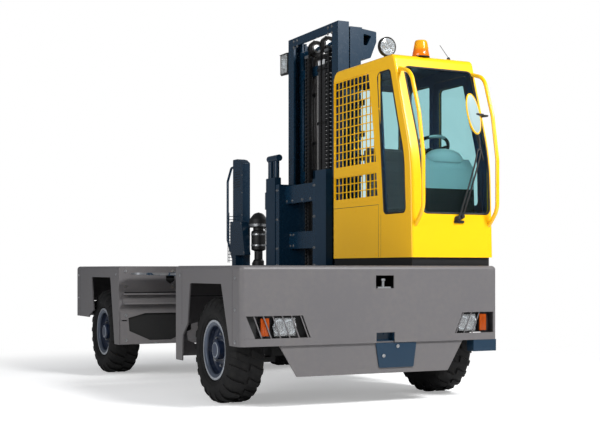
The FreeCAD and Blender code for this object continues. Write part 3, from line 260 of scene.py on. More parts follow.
# Extruded rubber: a dull, even black.
seal_rubber, tree, shader = surface("extruded_window_rubber", Roughness=0.6)
shader.inputs["Base Color"].default_value = srgb("#15161a")
grain(tree, shader, 1.5, 0.1, 0.3)


def finished(name, mesh, paint, body, slot_name, *hidden):
    """Places a mesh as a piece of a body, in its material; slot_name is not used."""
    if paint:
        mesh.materials.clear()
        mesh.materials.append(paint)
    piece = place(name, mesh)
    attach(piece, body)
    if hidden:
        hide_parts(*hidden)
    return piece


def meshed(name, form):
    """The mesh of a bmesh, which is used up."""
    mesh = bpy.data.meshes.new(name)
    form.to_mesh(mesh)
    form.free()
    return mesh


def evaluated(holder):
    """The plain mesh that an object's modifiers make; the object is used up."""
    mesh = bpy.data.meshes.new_from_object(holder.evaluated_get(bpy.context.evaluated_depsgraph_get()))
    bpy.data.objects.remove(holder)
    return mesh


def joined(name, meshes):
    """One mesh from several, which are used up; each keeps its material."""
    form = bmesh.new()
    paints = []
    for mesh in meshes:
        start = len(form.faces)
        form.from_mesh(mesh)
        form.faces.ensure_lookup_table()
        for face in form.faces[start:]:
            own = mesh.materials[face.material_index] if mesh.materials else None
            if own not in paints:
                paints.append(own)
            face.material_index = paints.index(own)
        bpy.data.meshes.remove(mesh)
    whole = meshed(name, form)
    for own in paints:
        if own:
            whole.materials.append(own)
    return whole


def tube(points, radius, closed=False, kind="POLY"):
    """A round section swept along points, as a mesh."""
    path = bpy.data.curves.new("path", "CURVE")
    path.dimensions = "3D"
    path.bevel_depth = radius
    path.bevel_resolution = 3
    path.use_fill_caps = True
    spline = path.splines.new(kind)
    spline.points.add(len(points) - 1)
    for knot, point in zip(spline.points, points):
        knot.co = (*point, 1)
    spline.use_cyclic_u = closed
    if kind == "NURBS":
        spline.order_u = 3
        spline.use_endpoint_u = not closed
        spline.resolution_u = 6
    mesh = evaluated(place("holder", path))
    bpy.data.curves.remove(path)
    return mesh


def rounded(corners):
    """Points along a closed outline of (u, v, radius) corners, close enough to bend with a surface."""
    turns, run = 5, 0.08
    points = []
    count = len(corners)
    for i, (u, v, radius) in enumerate(corners):
        here = Vector((u, v))
        back = (Vector(corners[i - 1][:2]) - here).normalized()
        on = (Vector(corners[(i + 1) % count][:2]) - here).normalized()
        half = back.angle(on) / 2
        start, end = here + back * radius / math.tan(half), here + on * radius / math.tan(half)
        centre = here + (back + on).normalized() * radius / math.sin(half)
        for k in range(turns + 1):
            way = (start - centre).lerp(end - centre, k / turns).normalized()
            points.append(centre + way * radius)
    dense = []
    for a, b in zip(points, points[1:] + points[:1]):
        steps = max(1, int((b - a).length / run))
        dense += [a.lerp(b, k / steps) for k in range(steps)]
    return dense


def pillar(z):
    """Front face of the cab at a height, with its bend at the knee."""
    low = cab_front + (z - foot_z) / (knee_z - foot_z) * (knee_x - cab_front)
    high = knee_x + (z - knee_z) / (roof_z - knee_z) * (roof_x - knee_x)
    reach = 0.21
    t = min(1.0, max(0.0, (z - knee_z + reach) / (2 * reach)))
    if t in (0.0, 1.0):
        return low if t == 0 else high
    start = cab_front + (knee_z - reach - foot_z) / (knee_z - foot_z) * (knee_x - cab_front)
    end = knee_x + reach / (roof_z - knee_z) * (roof_x - knee_x)
    return (1 - t) ** 2 * start + 2 * t * (1 - t) * knee_x + t * t * end


seal, quarter_post, door_post = 0.009, 0.095, 0.160
screen = [(0.494, 1.560, 0.045), (1.164, 1.560, 0.045), (1.154, 2.812, 0.05), (0.464, 2.812, 0.05)]
quarter = [(1.752, 1.568, 0.04), (pillar(1.565) - quarter_post, 1.568, 0.04),
           (pillar(knee_z) - quarter_post, knee_z, 0.9), (pillar(2.790) - quarter_post, 2.790, 0.04),
           (1.640, 2.790, 0.04)]
rear_pane = [(0.455, 1.640, 0.04), (1.100, 1.640, 0.04), (1.100, 2.790, 0.04), (0.455, 2.790, 0.04)]
side_pane = [(0.890, 1.640, 0.04), (1.270, 1.640, 0.04), (1.270, 2.790, 0.04), (0.890, 2.790, 0.04)]
door_pane = [(1.405, 1.640, 0.04), (pillar(1.640) - door_post, 1.640, 0.04),
             (pillar(knee_z) - door_post, knee_z, 0.9), (pillar(2.730) - door_post, 2.730, 0.04),
             (1.405, 2.730, 0.04)]
cab_right, cab_left, cab_rear = 0.380, 1.190, 0.818
rubbers = [tube([(pillar(v) - 0.004, u, v) for u, v in rounded(screen)], seal, True),
           tube([(u, cab_right + 0.003, v) for u, v in rounded(quarter)], seal, True),
           tube([(cab_rear + 0.003, u, v) for u, v in rounded(rear_pane)], seal, True),
           tube([(u, cab_left - 0.003, v) for u, v in rounded(side_pane)], seal, True)]
finished("window_rubbers", joined("window_rubbers", rubbers), seal_rubber, "chassis", rubber_slot)
finished("door_rubber", tube([(u, cab_left - 0.003, v) for u, v in rounded(door_pane)], seal, True),
         seal_rubber, "door", rubber_slot)

# ---- Screws and panel joints of the body ----
# The skirts and fascias are bolted on with pan-head screws on washers. Where two panels butt, the joint
# shows as a thin dark gap.
steel_slot, grey_slot = "bright_steel", "deck_grey"
# Zinc plating: a bright grey metal, slightly clouded.
zinc_steel, tree, shader = surface("zinc_plated_steel", Metallic=1.0, Roughness=0.34)
shader.inputs["Base Color"].default_value = srgb("#a6a8aa")
grain(tree, shader, 2.0, 0.05, 0.2)
# A gap between panels: flat near-black, with no gloss.
gap_dark, tree, shader = surface("shadowed_panel_gap", Roughness=0.8)
shader.inputs["Base Color"].default_value = srgb("#232327")
grain(tree, shader, 3.0, 0.1, 0.2)


def growing_tree(name, *sockets):
    """A Geometry Nodes tree with named inputs; returns it with its input node."""
    tree = bpy.data.node_groups.new(name, "GeometryNodeTree")
    tree.interface.new_socket("Geometry", in_out="INPUT", socket_type="NodeSocketGeometry")
    for label, kind in sockets:
        tree.interface.new_socket(label, in_out="INPUT", socket_type="NodeSocket" + kind)
    tree.interface.new_socket("Finish", in_out="INPUT", socket_type="NodeSocketMaterial")
    tree.interface.new_socket("Geometry", in_out="OUTPUT", socket_type="NodeSocketGeometry")
    return tree, add(tree, "NodeGroupInput")


def end_tree(tree, sizes, shape):
    """Real geometry in its finish at the end of a tree."""
    real = add(tree, "GeometryNodeRealizeInstances", {0: shape})
    coated = add(tree, "GeometryNodeSetMaterial", {"Geometry": real.outputs[0],
                                                   "Material": sizes.outputs["Finish"]})
    add(tree, "NodeGroupOutput", {0: coated.outputs[0]})


def grow(tree, mesh, **values):
    """The plain mesh that a tree makes from a start mesh."""
    holder = place("holder", mesh)
    grower = holder.modifiers.new("grow", "NODES")
    grower.node_group = tree
    for item in tree.interface.items_tree:
        label = item.name.replace(" ", "_").lower()
        if item.in_out == "INPUT" and label in values:
            grower[item.identifier] = values[label]
    return evaluated(holder)


def dots(points):
    """A mesh of loose points."""
    mesh = bpy.data.meshes.new("dots")
    mesh.from_pydata(points, [], [])
    return mesh


def bars(boxes, edge=0.0, segments=2):
    """Square-edged or eased bars between pairs of corners, as one mesh."""
    form = bmesh.new()
    for low, high in boxes:
        low, high = Vector(low), Vector(high)
        for corner in bmesh.ops.create_cube(form, size=1)["verts"]:
            corner.co = Vector((l + (c + 0.5) * (h - l) for l, c, h in zip(low, corner.co, high)))
    if edge:
        bmesh.ops.bevel(form, geom=form.edges[:], offset=edge, segments=segments, affect="EDGES",
                        clamp_overlap=True)
    bmesh.ops.recalc_face_normals(form, faces=form.faces)
    return meshed("bars", form)


def skin(form, rows):
    """Faces between rows of points that run round a piece, with triangles where a row is one point."""
    for a, b in zip(rows, rows[1:]):
        for k in range(len(a)):
            on = (k + 1) % len(a)
            corners = []
            for corner in (a[k], a[on], b[on], b[k]):
                if corner not in corners:
                    corners.append(corner)
            if len(corners) > 2:
                form.faces.new(corners)


def turned(profile, centre, axis, steps=32):
    """A solid turned from (distance along the axis, radius) points, closed on the axis or as a ring."""
    axis = Vector(axis).normalized()
    side = axis.orthogonal().normalized()
    up = axis.cross(side)
    form = bmesh.new()
    rows = []
    for along, radius in profile:
        foot = Vector(centre) + axis * along
        if radius == 0:
            rows.append([form.verts.new(foot)] * steps)
            continue
        rows.append([form.verts.new(foot + (side * math.cos(k * math.tau / steps)
                                            + up * math.sin(k * math.tau / steps)) * radius)
                     for k in range(steps)])
    if profile[0][1] and profile[-1][1]:
        rows.append(rows[0])
    skin(form, rows)
    bmesh.ops.recalc_face_normals(form, faces=form.faces)
    for face in form.faces:
        face.smooth = True
    sharp = 0.6
    for bend in form.edges:
        if len(bend.link_faces) == 2 and bend.calc_face_angle(0) > sharp:
            bend.smooth = False
    return meshed("turned", form)


screw_tree, sizes = growing_tree("pan_head_screws", ("Head radius", "Float"), ("Head height", "Float"),
                                 ("Facing", "Vector"))
head = add(screw_tree, "GeometryNodeMeshCone", {"Vertices": 12, "Radius Top": 0.0,
                                                "Radius Bottom": sizes.outputs["Head radius"],
                                                "Depth": sizes.outputs["Head height"]})
crown = add(screw_tree, "ShaderNodeMath", {0: sizes.outputs["Head radius"], 1: 0.7}, operation="MULTIPLY")
screw_tree.links.new(crown.outputs[0], head.inputs["Radius Top"])
rim = add(screw_tree, "ShaderNodeMath", {0: sizes.outputs["Head radius"], 1: 1.5}, operation="MULTIPLY")
washer = add(screw_tree, "GeometryNodeMeshCylinder", {"Vertices": 16, "Radius": rim.outputs[0],
                                                      "Depth": 0.0024})
whole = add(screw_tree, "GeometryNodeJoinGeometry")
screw_tree.links.new(head.outputs["Mesh"], whole.inputs[0])
screw_tree.links.new(washer.outputs["Mesh"], whole.inputs[0])
turn = add(screw_tree, "FunctionNodeAlignRotationToVector", {"Vector": sizes.outputs["Facing"]}, axis="Z")
spread = add(screw_tree, "GeometryNodeInstanceOnPoints", {"Points": sizes.outputs["Geometry"],
                                                          "Instance": whole.outputs[0],
                                                          "Rotation": turn.outputs[0]})
end_tree(screw_tree, sizes, spread.outputs[0])


def screws(points, facing, radius=0.010, height=0.006, finish=zinc_steel):
    """Screw heads on their washers at points of a face."""
    return grow(screw_tree, dots(points), head_radius=radius, head_height=height, facing=facing,
                finish=finish)


half_width, deck_top, front_x, rear_x = 1.190, 1.120, 2.265, -2.325
well_front, well_rear, fascia_depth, doubling = 0.869, -0.765, 0.150, 0.014
front_joint, rear_joint = front_x - fascia_depth, rear_x + fascia_depth
body_screws = []
for side in (-1, 1):
    body_screws.append(screws([(x, side * half_width, z) for x in (front_joint + 0.05, rear_joint - 0.05)
                               for z in (1.024, 0.779)] +
                              [(front_joint + 0.05, side * half_width, 0.530),
                               (well_front + 0.100, side * half_width, 1.041),
                               (well_rear - 0.100, side * half_width, 1.041)], (0, side, 0)))
body_screws.append(screws([(rear_x, y, z) for y in (-1.05, -0.40, 0.40, 1.05) for z in (0.61, 1.06)],
                          (-1, 0, 0)))
for x, way in ((well_rear, 1), (well_front, -1)):
    body_screws.append(screws([(x, y, z) for y in (-1.12, -0.62, -0.12, 0.38) for z in (0.92, 1.07)] +
                              [(x + way * doubling, y, z) for y in (-1.12, -0.30, 0.40)
                               for z in (0.38, 0.63)], (way, 0, 0)))
finished("body_screws", joined("body_screws", body_screws), None, "chassis", steel_slot)

gap, proud, skirt_top, deck_seam = 0.0016, 0.0004, deck_top - 0.034, -1.100
joints_dark = []
for side in (-1, 1):
    face = sorted((side * (half_width - 0.004), side * (half_width + proud)))
    for x, low in ((front_joint, 0.500), (rear_joint, 0.577), (1.018, 0.620)):
        joints_dark.append(((x - gap, face[0], low), (x + gap, face[1], skirt_top)))
for x in (front_joint, rear_joint):
    joints_dark.append(((x - gap, -1.150, deck_top - 0.002), (x + gap, 0.36, deck_top + proud)))
for x0, x1 in ((well_front, front_joint), (rear_joint, well_rear)):
    joints_dark.append(((x0, deck_seam - gap, deck_top - 0.002), (x1, deck_seam + gap, deck_top + proud)))
finished("panel_joints", bars(joints_dark), gap_dark, "chassis", grey_slot)

# ---- Chequer plate of the hood and the walkway ----
# The engine hood and the deck beside it are rolled chequer plate, painted with the body. The raised
# lozenges are pressed 1.6 mm high and lie crosswise to their neighbours.
chequer_tree, sizes = growing_tree("chequer_plate", ("Length", "Float"), ("Width", "Float"),
                                   ("Middle", "Vector"), ("Pitch", "Float"))
count_x = add(chequer_tree, "ShaderNodeMath", {0: sizes.outputs["Length"], 1: sizes.outputs["Pitch"]},
              operation="DIVIDE")
count_y = add(chequer_tree, "ShaderNodeMath", {0: sizes.outputs["Width"], 1: sizes.outputs["Pitch"]},
              operation="DIVIDE")
grid = add(chequer_tree, "GeometryNodeMeshGrid", {"Size X": sizes.outputs["Length"],
                                                  "Size Y": sizes.outputs["Width"],
                                                  "Vertices X": count_x.outputs[0],
                                                  "Vertices Y": count_y.outputs[0]})
centred = add(chequer_tree, "GeometryNodeTransform", {"Geometry": grid.outputs["Mesh"],
                                                      "Translation": sizes.outputs["Middle"]})
lozenge = add(chequer_tree, "GeometryNodeMeshIcoSphere", {"Radius": 1.0, "Subdivisions": 1})
flat = add(chequer_tree, "GeometryNodeTransform", {"Geometry": lozenge.outputs["Mesh"],
                                                   "Scale": (0.016, 0.0045, 0.0016)})
order = add(chequer_tree, "GeometryNodeInputIndex")
column = add(chequer_tree, "ShaderNodeMath", {0: order.outputs[0], 1: count_y.outputs[0]},
             operation="DIVIDE")
column_whole = add(chequer_tree, "ShaderNodeMath", {0: column.outputs[0]}, operation="FLOOR")
crossed = add(chequer_tree, "ShaderNodeMath", {0: order.outputs[0], 1: column_whole.outputs[0]},
              operation="ADD")
odd = add(chequer_tree, "ShaderNodeMath", {0: crossed.outputs[0], 1: 2.0}, operation="MODULO")
angle = add(chequer_tree, "ShaderNodeMath", {0: odd.outputs[0], 1: math.pi / 2, 2: math.pi / 4},
            operation="MULTIPLY_ADD")
lay = add(chequer_tree, "ShaderNodeCombineXYZ", {"Z": angle.outputs[0]})
spread = add(chequer_tree, "GeometryNodeInstanceOnPoints", {"Points": centred.outputs[0],
                                                            "Instance": flat.outputs[0],
                                                            "Rotation": lay.outputs[0]})
end_tree(chequer_tree, sizes, spread.outputs[0])


def chequer(x_span, y_span, z):
    """Raised lozenges over a flat plate."""
    middle = ((x_span[0] + x_span[1]) / 2, (y_span[0] + y_span[1]) / 2, z)
    return grow(chequer_tree, dots([(0, 0, 0)]), length=x_span[1] - x_span[0],
                width=y_span[1] - y_span[0], middle=middle, pitch=0.032, finish=grey_enamel)


plate_span, hood_rise, walkway_rise = (-2.22, -1.09), 0.0145, 0.0085
finished("hood_chequer", chequer(plate_span, (0.69, 1.06), deck_top + hood_rise), None, "engine_lid",
         grey_slot)
finished("walkway_chequer", chequer(plate_span, (0.22, 0.38), deck_top + walkway_rise), None, "chassis",
         grey_slot)

# ---- Headlamps, direction indicators and tail lamps ----
# Each front recess holds a clear-lens headlamp and an amber indicator in black housings. Their lenses are
# moulded with upright ribs over bright bowls. The rear fascia has flat lamps with three panes each.
lamp_slot, amber_slot = "lamp_clear", "lamp_amber"
# Clear acrylic: a wet gloss with a faint painted glow of its own, though no lamp is lit. The amber and red
# lenses are deep in colour under a like gloss.
clear_lens, tree, shader = surface("clear_moulded_lens", Roughness=0.05, IOR=1.49, Transmission_Weight=0.9,
                                   Emission_Strength=0.02)
shader.inputs["Base Color"].default_value = srgb("#eef1f3")
shader.inputs["Emission Color"].default_value = srgb("#ffffff")
grain(tree, shader, 6.0, 0.4, 0.25)
amber_lens, tree, shader = surface("amber_moulded_lens", Roughness=0.10, IOR=1.49, Transmission_Weight=0.35)
shader.inputs["Base Color"].default_value = srgb("#b84e08")
grain(tree, shader, 5.0, 0.3, 0.25)
red_lens, tree, shader = surface("red_moulded_lens", Roughness=0.12, IOR=1.49)
shader.inputs["Base Color"].default_value = srgb("#a3140f")
grain(tree, shader, 5.0, 0.3, 0.25)
# Vacuum coating: a slightly soft mirror.
bright_reflector, tree, shader = surface("vacuum_coated_reflector", Metallic=1.0, Roughness=0.12)
shader.inputs["Base Color"].default_value = srgb("#c4c8cb")
grain(tree, shader, 25.0, 0.6, 0.25)
# Moulded plastic with a fine grain: satin black.
black_moulding, tree, shader = surface("grained_black_moulding", Roughness=0.55)
shader.inputs["Base Color"].default_value = srgb("#0c0d0f")
grain(tree, shader, 1.2, 0.15, 0.35)

rib_tree, sizes = growing_tree("lens_ribs", ("Count", "Int"), ("First", "Vector"), ("Step", "Vector"),
                               ("Rib size", "Vector"))
row = add(rib_tree, "GeometryNodeMeshLine", {"Count": sizes.outputs["Count"],
                                             "Start Location": sizes.outputs["First"],
                                             "Offset": sizes.outputs["Step"]})
rib = add(rib_tree, "GeometryNodeMeshIcoSphere", {"Radius": 1.0, "Subdivisions": 2})
shaped = add(rib_tree, "GeometryNodeTransform", {"Geometry": rib.outputs["Mesh"],
                                                 "Scale": sizes.outputs["Rib size"]})
spread = add(rib_tree, "GeometryNodeInstanceOnPoints", {"Points": row.outputs[0],
                                                        "Instance": shaped.outputs[0]})
end_tree(rib_tree, sizes, spread.outputs[0])

lamp_low, lamp_high, lamp_back, lamp_face = 0.569, 0.719, front_x - 0.065, front_x - 0.014
rib_pitch = 0.014
lamp_parts = []
for y0, y1, lens in ((-0.897, -0.708, clear_lens), (-1.015, -0.931, amber_lens),
                     (0.808, 0.985, clear_lens), (1.015, 1.095, amber_lens)):
    body = bars([((lamp_back, y0, lamp_low), (lamp_face - 0.014, y1, lamp_high))], 0.010)
    body.materials.append(black_moulding)
    cover = bars([((lamp_face - 0.012, y0 + 0.005, lamp_low + 0.005),
                   (lamp_face - 0.003, y1 - 0.005, lamp_high - 0.005))], 0.0035)
    cover.materials.append(lens)
    middle = ((lamp_face + lamp_back) / 2, (y0 + y1) / 2, (lamp_low + lamp_high) / 2)
    count = int((y1 - y0 - 0.03) / rib_pitch)
    ribs = grow(rib_tree, dots([(0, 0, 0)]), count=count, step=(0, rib_pitch, 0),
                first=(lamp_face - 0.003, middle[1] - (count - 1) * rib_pitch / 2, middle[2]),
                rib_size=(0.0026, 0.0055, (lamp_high - lamp_low) / 2 - 0.012), finish=lens)
    if lens is clear_lens:
        for side in (-1, 1):
            bowl = turned([(-0.010, 0.020), (0.001, 0.045), (0.0020, 0.058), (-0.003, 0.060),
                           (-0.016, 0.034)],
                          (lamp_face - 0.0145, middle[1] + side * 0.043, middle[2]), (1, 0, 0), 24)
            bowl.materials.append(bright_reflector)
            lamp_parts.append(bowl)
    lamp_parts += [body, cover, ribs]
recess = bars([((front_x - 0.060, y0, 0.560), (front_x - 0.057, y1, 0.728))
               for y0, y1 in ((-1.145, -0.60), (0.77, 1.145))])
recess.materials.append(black_moulding)
finished("headlamp_units", joined("headlamp_units", lamp_parts + [recess]), None, "chassis", lamp_slot,
         "headlamps")

tail_y = 0.98
tail = []
for middle in (-tail_y, tail_y):
    shell = bars([((rear_x + 0.006, middle - 0.095, 0.645), (rear_x + 0.040, middle + 0.095, 0.735))], 0.008)
    shell.materials.append(black_moulding)
    tail.append(shell)
    for low, high, lens in ((-0.088, -0.030, red_lens), (-0.026, 0.030, amber_lens),
                            (0.034, 0.088, clear_lens)):
        pane = bars([((rear_x + 0.001, middle + low, 0.652), (rear_x + 0.008, middle + high, 0.728))], 0.003)
        pane.materials.append(lens)
        tail.append(pane)
finished("tail_lamps", joined("tail_lamps", tail), None, "chassis", amber_slot)

# ---- Towing pin and radiator ----
# The drop-in pin behind the fascia is turned steel with a thin film of oil. Behind the rear grille stands
# the black finned core of the radiator.
# Turned steel: bright, with fine tool marks under the oil.
turned_steel, tree, shader = surface("oiled_turned_steel", Metallic=1.0, Roughness=0.3)
shader.inputs["Base Color"].default_value = srgb("#c9ccce")
grain(tree, shader, 1.5, 0.05, 0.2)
coat_nodes(turned_steel, "tow_pin")
core_x, fin_pitch = rear_x + 0.030, 0.018
finished("radiator_core", bars([((core_x, -0.36, z), (core_x + 0.004, 0.36, z + 0.007))
                                for z in [0.640 + fin_pitch * k for k in range(21)]] +
                               [((core_x + 0.004, -0.37, 0.62), (core_x + 0.012, 0.37, 1.03))]),
         black_moulding, "chassis", rubber_slot)

# ---- Wheels ----
# The tyres are black cross-ply industrial rubber with heavy slanted lugs. The rims are silver at their
# flange, with painted shade on its slope and a painted highlight at its lip, and dark on the dished disc,
# which is held by eight nuts round a pale hub.
wheel_z, mid_y, nut_y, nut_circle = 0.433, 0.990, 1.045, 0.128
axle_x = {"front": 1.580, "rear": -1.515}
# Moulded rubber: matt black, greyed in patches by dirt.
tyre_rubber, tree, shader = surface("moulded_tyre_rubber", Roughness=0.72, Specular_IOR_Level=0.3)
tyre_dirt, rim_grime = 0.05, 0.03
spot = add(tree, "ShaderNodeTexCoord")
dirt = add(tree, "ShaderNodeTexNoise", {"Vector": spot.outputs["Object"], "Scale": 1 / tyre_dirt,
                                        "Detail": 6.0})
grey = add(tree, "ShaderNodeMapRange", {"Value": dirt.outputs["Fac"], "From Min": 0.45, "From Max": 0.75})
tint = add(tree, "ShaderNodeMix", {"Factor": grey.outputs[0], 6: srgb("#070708"), 7: srgb("#151413")},
           data_type="RGBA")
tree.links.new(tint.outputs[2], shader.inputs["Base Color"])
grain(tree, shader, 2.0, 0.3, 0.3)


def rim_coat(name, x):
    """Silver flange, dark disc and pale hub, by distance from the wheel's axis; the flange has painted shade
    on its slope and a painted highlight at its lip.
    """
    paint, tree, shader = surface(name, Roughness=0.34)
    spot = add(tree, "ShaderNodeTexCoord")
    centred = add(tree, "ShaderNodeVectorMath", {0: spot.outputs["Object"], 1: (x, 0, wheel_z)},
                  operation="SUBTRACT")
    flat = add(tree, "ShaderNodeVectorMath", {0: centred.outputs[0], 1: (1, 0, 1)}, operation="MULTIPLY")
    away = add(tree, "ShaderNodeVectorMath", {0: flat.outputs[0]}, operation="LENGTH")
    bands = add(tree, "ShaderNodeValToRGB", {"Fac": away.outputs["Value"]})
    bands.color_ramp.interpolation = "CONSTANT"
    stops = bands.color_ramp.elements
    stops[0].position, stops[0].color = 0.0, srgb("#1a2942")
    stops[1].position, stops[1].color = 0.052, srgb("#8d949d")
    # From 0.192 to 0.226 the silver flange's slope is darker as painted shade, and beyond 0.226 its lip is
    # brighter as a painted highlight.
    for position, colour in ((0.062, "#16233a"), (0.075, "#7d848e"), (0.081, "#141f33"), (0.192, "#4f5867"),
                             (0.226, "#a9aeb5")):
        stop = stops.new(position)
        stop.color = srgb(colour)
    grime = add(tree, "ShaderNodeTexNoise", {"Vector": spot.outputs["Object"], "Scale": 1 / rim_grime,
                                             "Detail": 5.0})
    amount = add(tree, "ShaderNodeMapRange", {"Value": grime.outputs["Fac"], "From Min": 0.5,
                                              "From Max": 0.8, "To Max": 0.5})
    tint = add(tree, "ShaderNodeMix", {"Factor": amount.outputs[0], 6: bands.outputs["Color"],
                                       7: srgb("#4c4a48")}, data_type="RGBA")
    tree.links.new(tint.outputs[2], shader.inputs["Base Color"])
    shine = add(tree, "ShaderNodeMath", {0: away.outputs["Value"], 1: 0.192}, operation="GREATER_THAN")
    metal = add(tree, "ShaderNodeMath", {0: shine.outputs[0], 1: 0.5}, operation="MULTIPLY")
    tree.links.new(metal.outputs[0], shader.inputs["Metallic"])
    grain(tree, shader, 3.0, 0.2, 0.12)
    return paint


rim_coats = {end: rim_coat(f"{end}_wheel_enamel", x) for end, x in axle_x.items()}

wheel_tree, sizes = growing_tree("round_an_axle", ("Count", "Int"), ("Axle", "Vector"), ("Phase", "Float"))
spots = add(wheel_tree, "GeometryNodePoints", {"Count": sizes.outputs["Count"],
                                               "Position": sizes.outputs["Axle"]})
order = add(wheel_tree, "GeometryNodeInputIndex")
step = add(wheel_tree, "ShaderNodeMath", {0: math.tau, 1: sizes.outputs["Count"]}, operation="DIVIDE")
angle = add(wheel_tree, "ShaderNodeMath", {0: order.outputs[0], 1: step.outputs[0],
                                           2: sizes.outputs["Phase"]}, operation="MULTIPLY_ADD")
lay = add(wheel_tree, "ShaderNodeCombineXYZ", {"Y": angle.outputs[0]})
spread = add(wheel_tree, "GeometryNodeInstanceOnPoints", {"Points": spots.outputs[0],
                                                          "Instance": sizes.outputs["Geometry"],
                                                          "Rotation": lay.outputs[0]})
end_tree(wheel_tree, sizes, spread.outputs[0])

tyre_section = [(-0.118, 0.2283), (0.108, 0.2283), (0.113, 0.247), (0.139, 0.262), (0.150, 0.285),
                (0.156, 0.315), (0.152, 0.350), (0.141, 0.381), (0.120, 0.407), (0.096, 0.417),
                (-0.096, 0.417), (-0.122, 0.407), (-0.143, 0.381), (-0.154, 0.350), (-0.158, 0.315),
                (-0.152, 0.285), (-0.145, 0.262), (-0.121, 0.247)]
bead_section = [(0.1405, 0.276), (0.1500, 0.279), (0.1515, 0.283), (0.1425, 0.282)]
# one lug, from near the middle of the tread over the shoulder: side offset, crown and foot radius, turn
lug_stations = [(0.010, 0.433, 0.412, 0.00), (0.085, 0.433, 0.412, 0.085), (0.118, 0.424, 0.400, 0.115),
                (0.142, 0.398, 0.376, 0.130), (0.155, 0.362, 0.350, 0.136)]


def lug(way):
    """One tread lug about the wheel's axis."""
    form = bmesh.new()
    rows = []
    for i, (off, crown, foot, turn) in enumerate(lug_stations):
        half, draft = 0.062 - 0.004 * i, 0.006
        row = []
        for radius, swing in ((foot, -half - draft), (crown, -half), (crown, half), (foot, half + draft)):
            a = turn * way + swing
            row.append(form.verts.new((radius * math.sin(a), way * off, radius * math.cos(a))))
        rows.append(row)
    skin(form, rows)
    form.faces.new(rows[0])
    form.faces.new(rows[-1])
    bmesh.ops.recalc_face_normals(form, faces=form.faces)
    return meshed("lug", form)


nut = turned([(0.0, 0.0), (0.0, 0.019), (0.005, 0.019), (0.005, 0.0135), (0.021, 0.0125), (0.021, 0.008),
              (0.028, 0.008), (0.028, 0.0)], (0, 0, 0), (0, 1, 0), 6)
lug_count = 22
for end, x in axle_x.items():
    for side, way in (("left", 1), ("right", -1)):
        axle = (x, way * mid_y, wheel_z)
        carcass = turned([(way * along, radius) for along, radius in tyre_section], axle, (0, 1, 0), 72)
        carcass.materials.append(tyre_rubber)
        lugs = [grow(wheel_tree, lug(half), count=lug_count, axle=axle,
                     phase=(half > 0) * math.pi / lug_count, finish=tyre_rubber) for half in (-1, 1)]
        beads = turned([(way * along, radius) for along, radius in bead_section], axle, (0, 1, 0), 64)
        beads.materials.append(tyre_rubber)
        body = f"{end}_{side}_wheel"
        finished(f"{end}_{side}_tread", joined("tread", [carcass, beads] + lugs), None, body, "tyre_rubber",
                 f"{end}_{side}_tyre")
        coat_nodes(rim_coats[end], f"{end}_{side}_rim")
        one = nut.copy()
        one.transform(Matrix.Translation((0, way * (nut_y - mid_y), nut_circle))
                      @ Matrix.Rotation(0 if way > 0 else math.pi, 4, "X"))
        nuts = grow(wheel_tree, one, count=8, axle=axle, phase=0.0, finish=zinc_steel)
        finished(f"{end}_{side}_nuts", nuts, None, body, "rim_silver")

# ---- Beacon and work lamps ----
# On the cab roof a tapering ribbed amber dome covers the turning beacon, beside a round halogen work lamp
# with a bright bowl. A square lamp with a ribbed pane looks down at the forks from the rear upright.
beacon_x, beacon_y, beacon_z = 1.835, 0.700, 2.922
# Amber acrylic: orange at the foot, and yellower above, where more light comes through.
beacon_amber, tree, shader = surface("amber_beacon_dome", Roughness=0.14, IOR=1.49, Transmission_Weight=0.25)
spot = add(tree, "ShaderNodeTexCoord")
axis = add(tree, "ShaderNodeSeparateXYZ", {0: spot.outputs["Object"]})
upper = add(tree, "ShaderNodeMapRange", {"Value": axis.outputs["Z"], "From Min": beacon_z + 0.055,
                                         "From Max": beacon_z + 0.085})
tint = add(tree, "ShaderNodeMix", {"Factor": upper.outputs[0], 6: srgb("#ee7a0a"), 7: srgb("#f8b41c")},
           data_type="RGBA")
tree.links.new(tint.outputs[2], shader.inputs["Base Color"])
grain(tree, shader, 5.0, 0.3, 0.2)
base = turned([(0.000, 0.0), (0.000, 0.076), (0.004, 0.076), (0.006, 0.073), (0.006, 0.0)],
              (beacon_x, beacon_y, beacon_z), (0, 0, 1), 40)
base.materials.append(black_moulding)
dome = turned([(0.007, 0.0), (0.007, 0.0745), (0.022, 0.0755), (0.028, 0.0740), (0.062, 0.0675),
               (0.066, 0.0645), (0.136, 0.0515), (0.144, 0.0475), (0.147, 0.0400), (0.147, 0.0)],
              (beacon_x, beacon_y, beacon_z), (0, 0, 1), 48)
dome.materials.append(beacon_amber)
taper = (0.0645 - 0.0515) / (0.136 - 0.066)
flute = bars([((-0.0016, 0.0605, 0.0), (0.0016, 0.0660, 0.068))], 0.0012)
for point in flute.vertices:
    point.co.y -= taper * point.co.z
upright_tree, sizes = growing_tree("flutes_round_a_dome", ("Count", "Int"), ("Foot", "Vector"))
spots = add(upright_tree, "GeometryNodePoints", {"Count": sizes.outputs["Count"],
                                                 "Position": sizes.outputs["Foot"]})
order = add(upright_tree, "GeometryNodeInputIndex")
step = add(upright_tree, "ShaderNodeMath", {0: math.tau, 1: sizes.outputs["Count"]}, operation="DIVIDE")
angle = add(upright_tree, "ShaderNodeMath", {0: order.outputs[0], 1: step.outputs[0]},
            operation="MULTIPLY")
lay = add(upright_tree, "ShaderNodeCombineXYZ", {"Z": angle.outputs[0]})
spread = add(upright_tree, "GeometryNodeInstanceOnPoints", {"Points": spots.outputs[0],
                                                            "Instance": sizes.outputs["Geometry"],
                                                            "Rotation": lay.outputs[0]})
end_tree(upright_tree, sizes, spread.outputs[0])
flutes = grow(upright_tree, flute, count=30, foot=(beacon_x, beacon_y, beacon_z + 0.067),
              finish=beacon_amber)
finished("beacon_dome", joined("beacon_dome", [base, dome, flutes]), None, "chassis", amber_slot, "beacon")

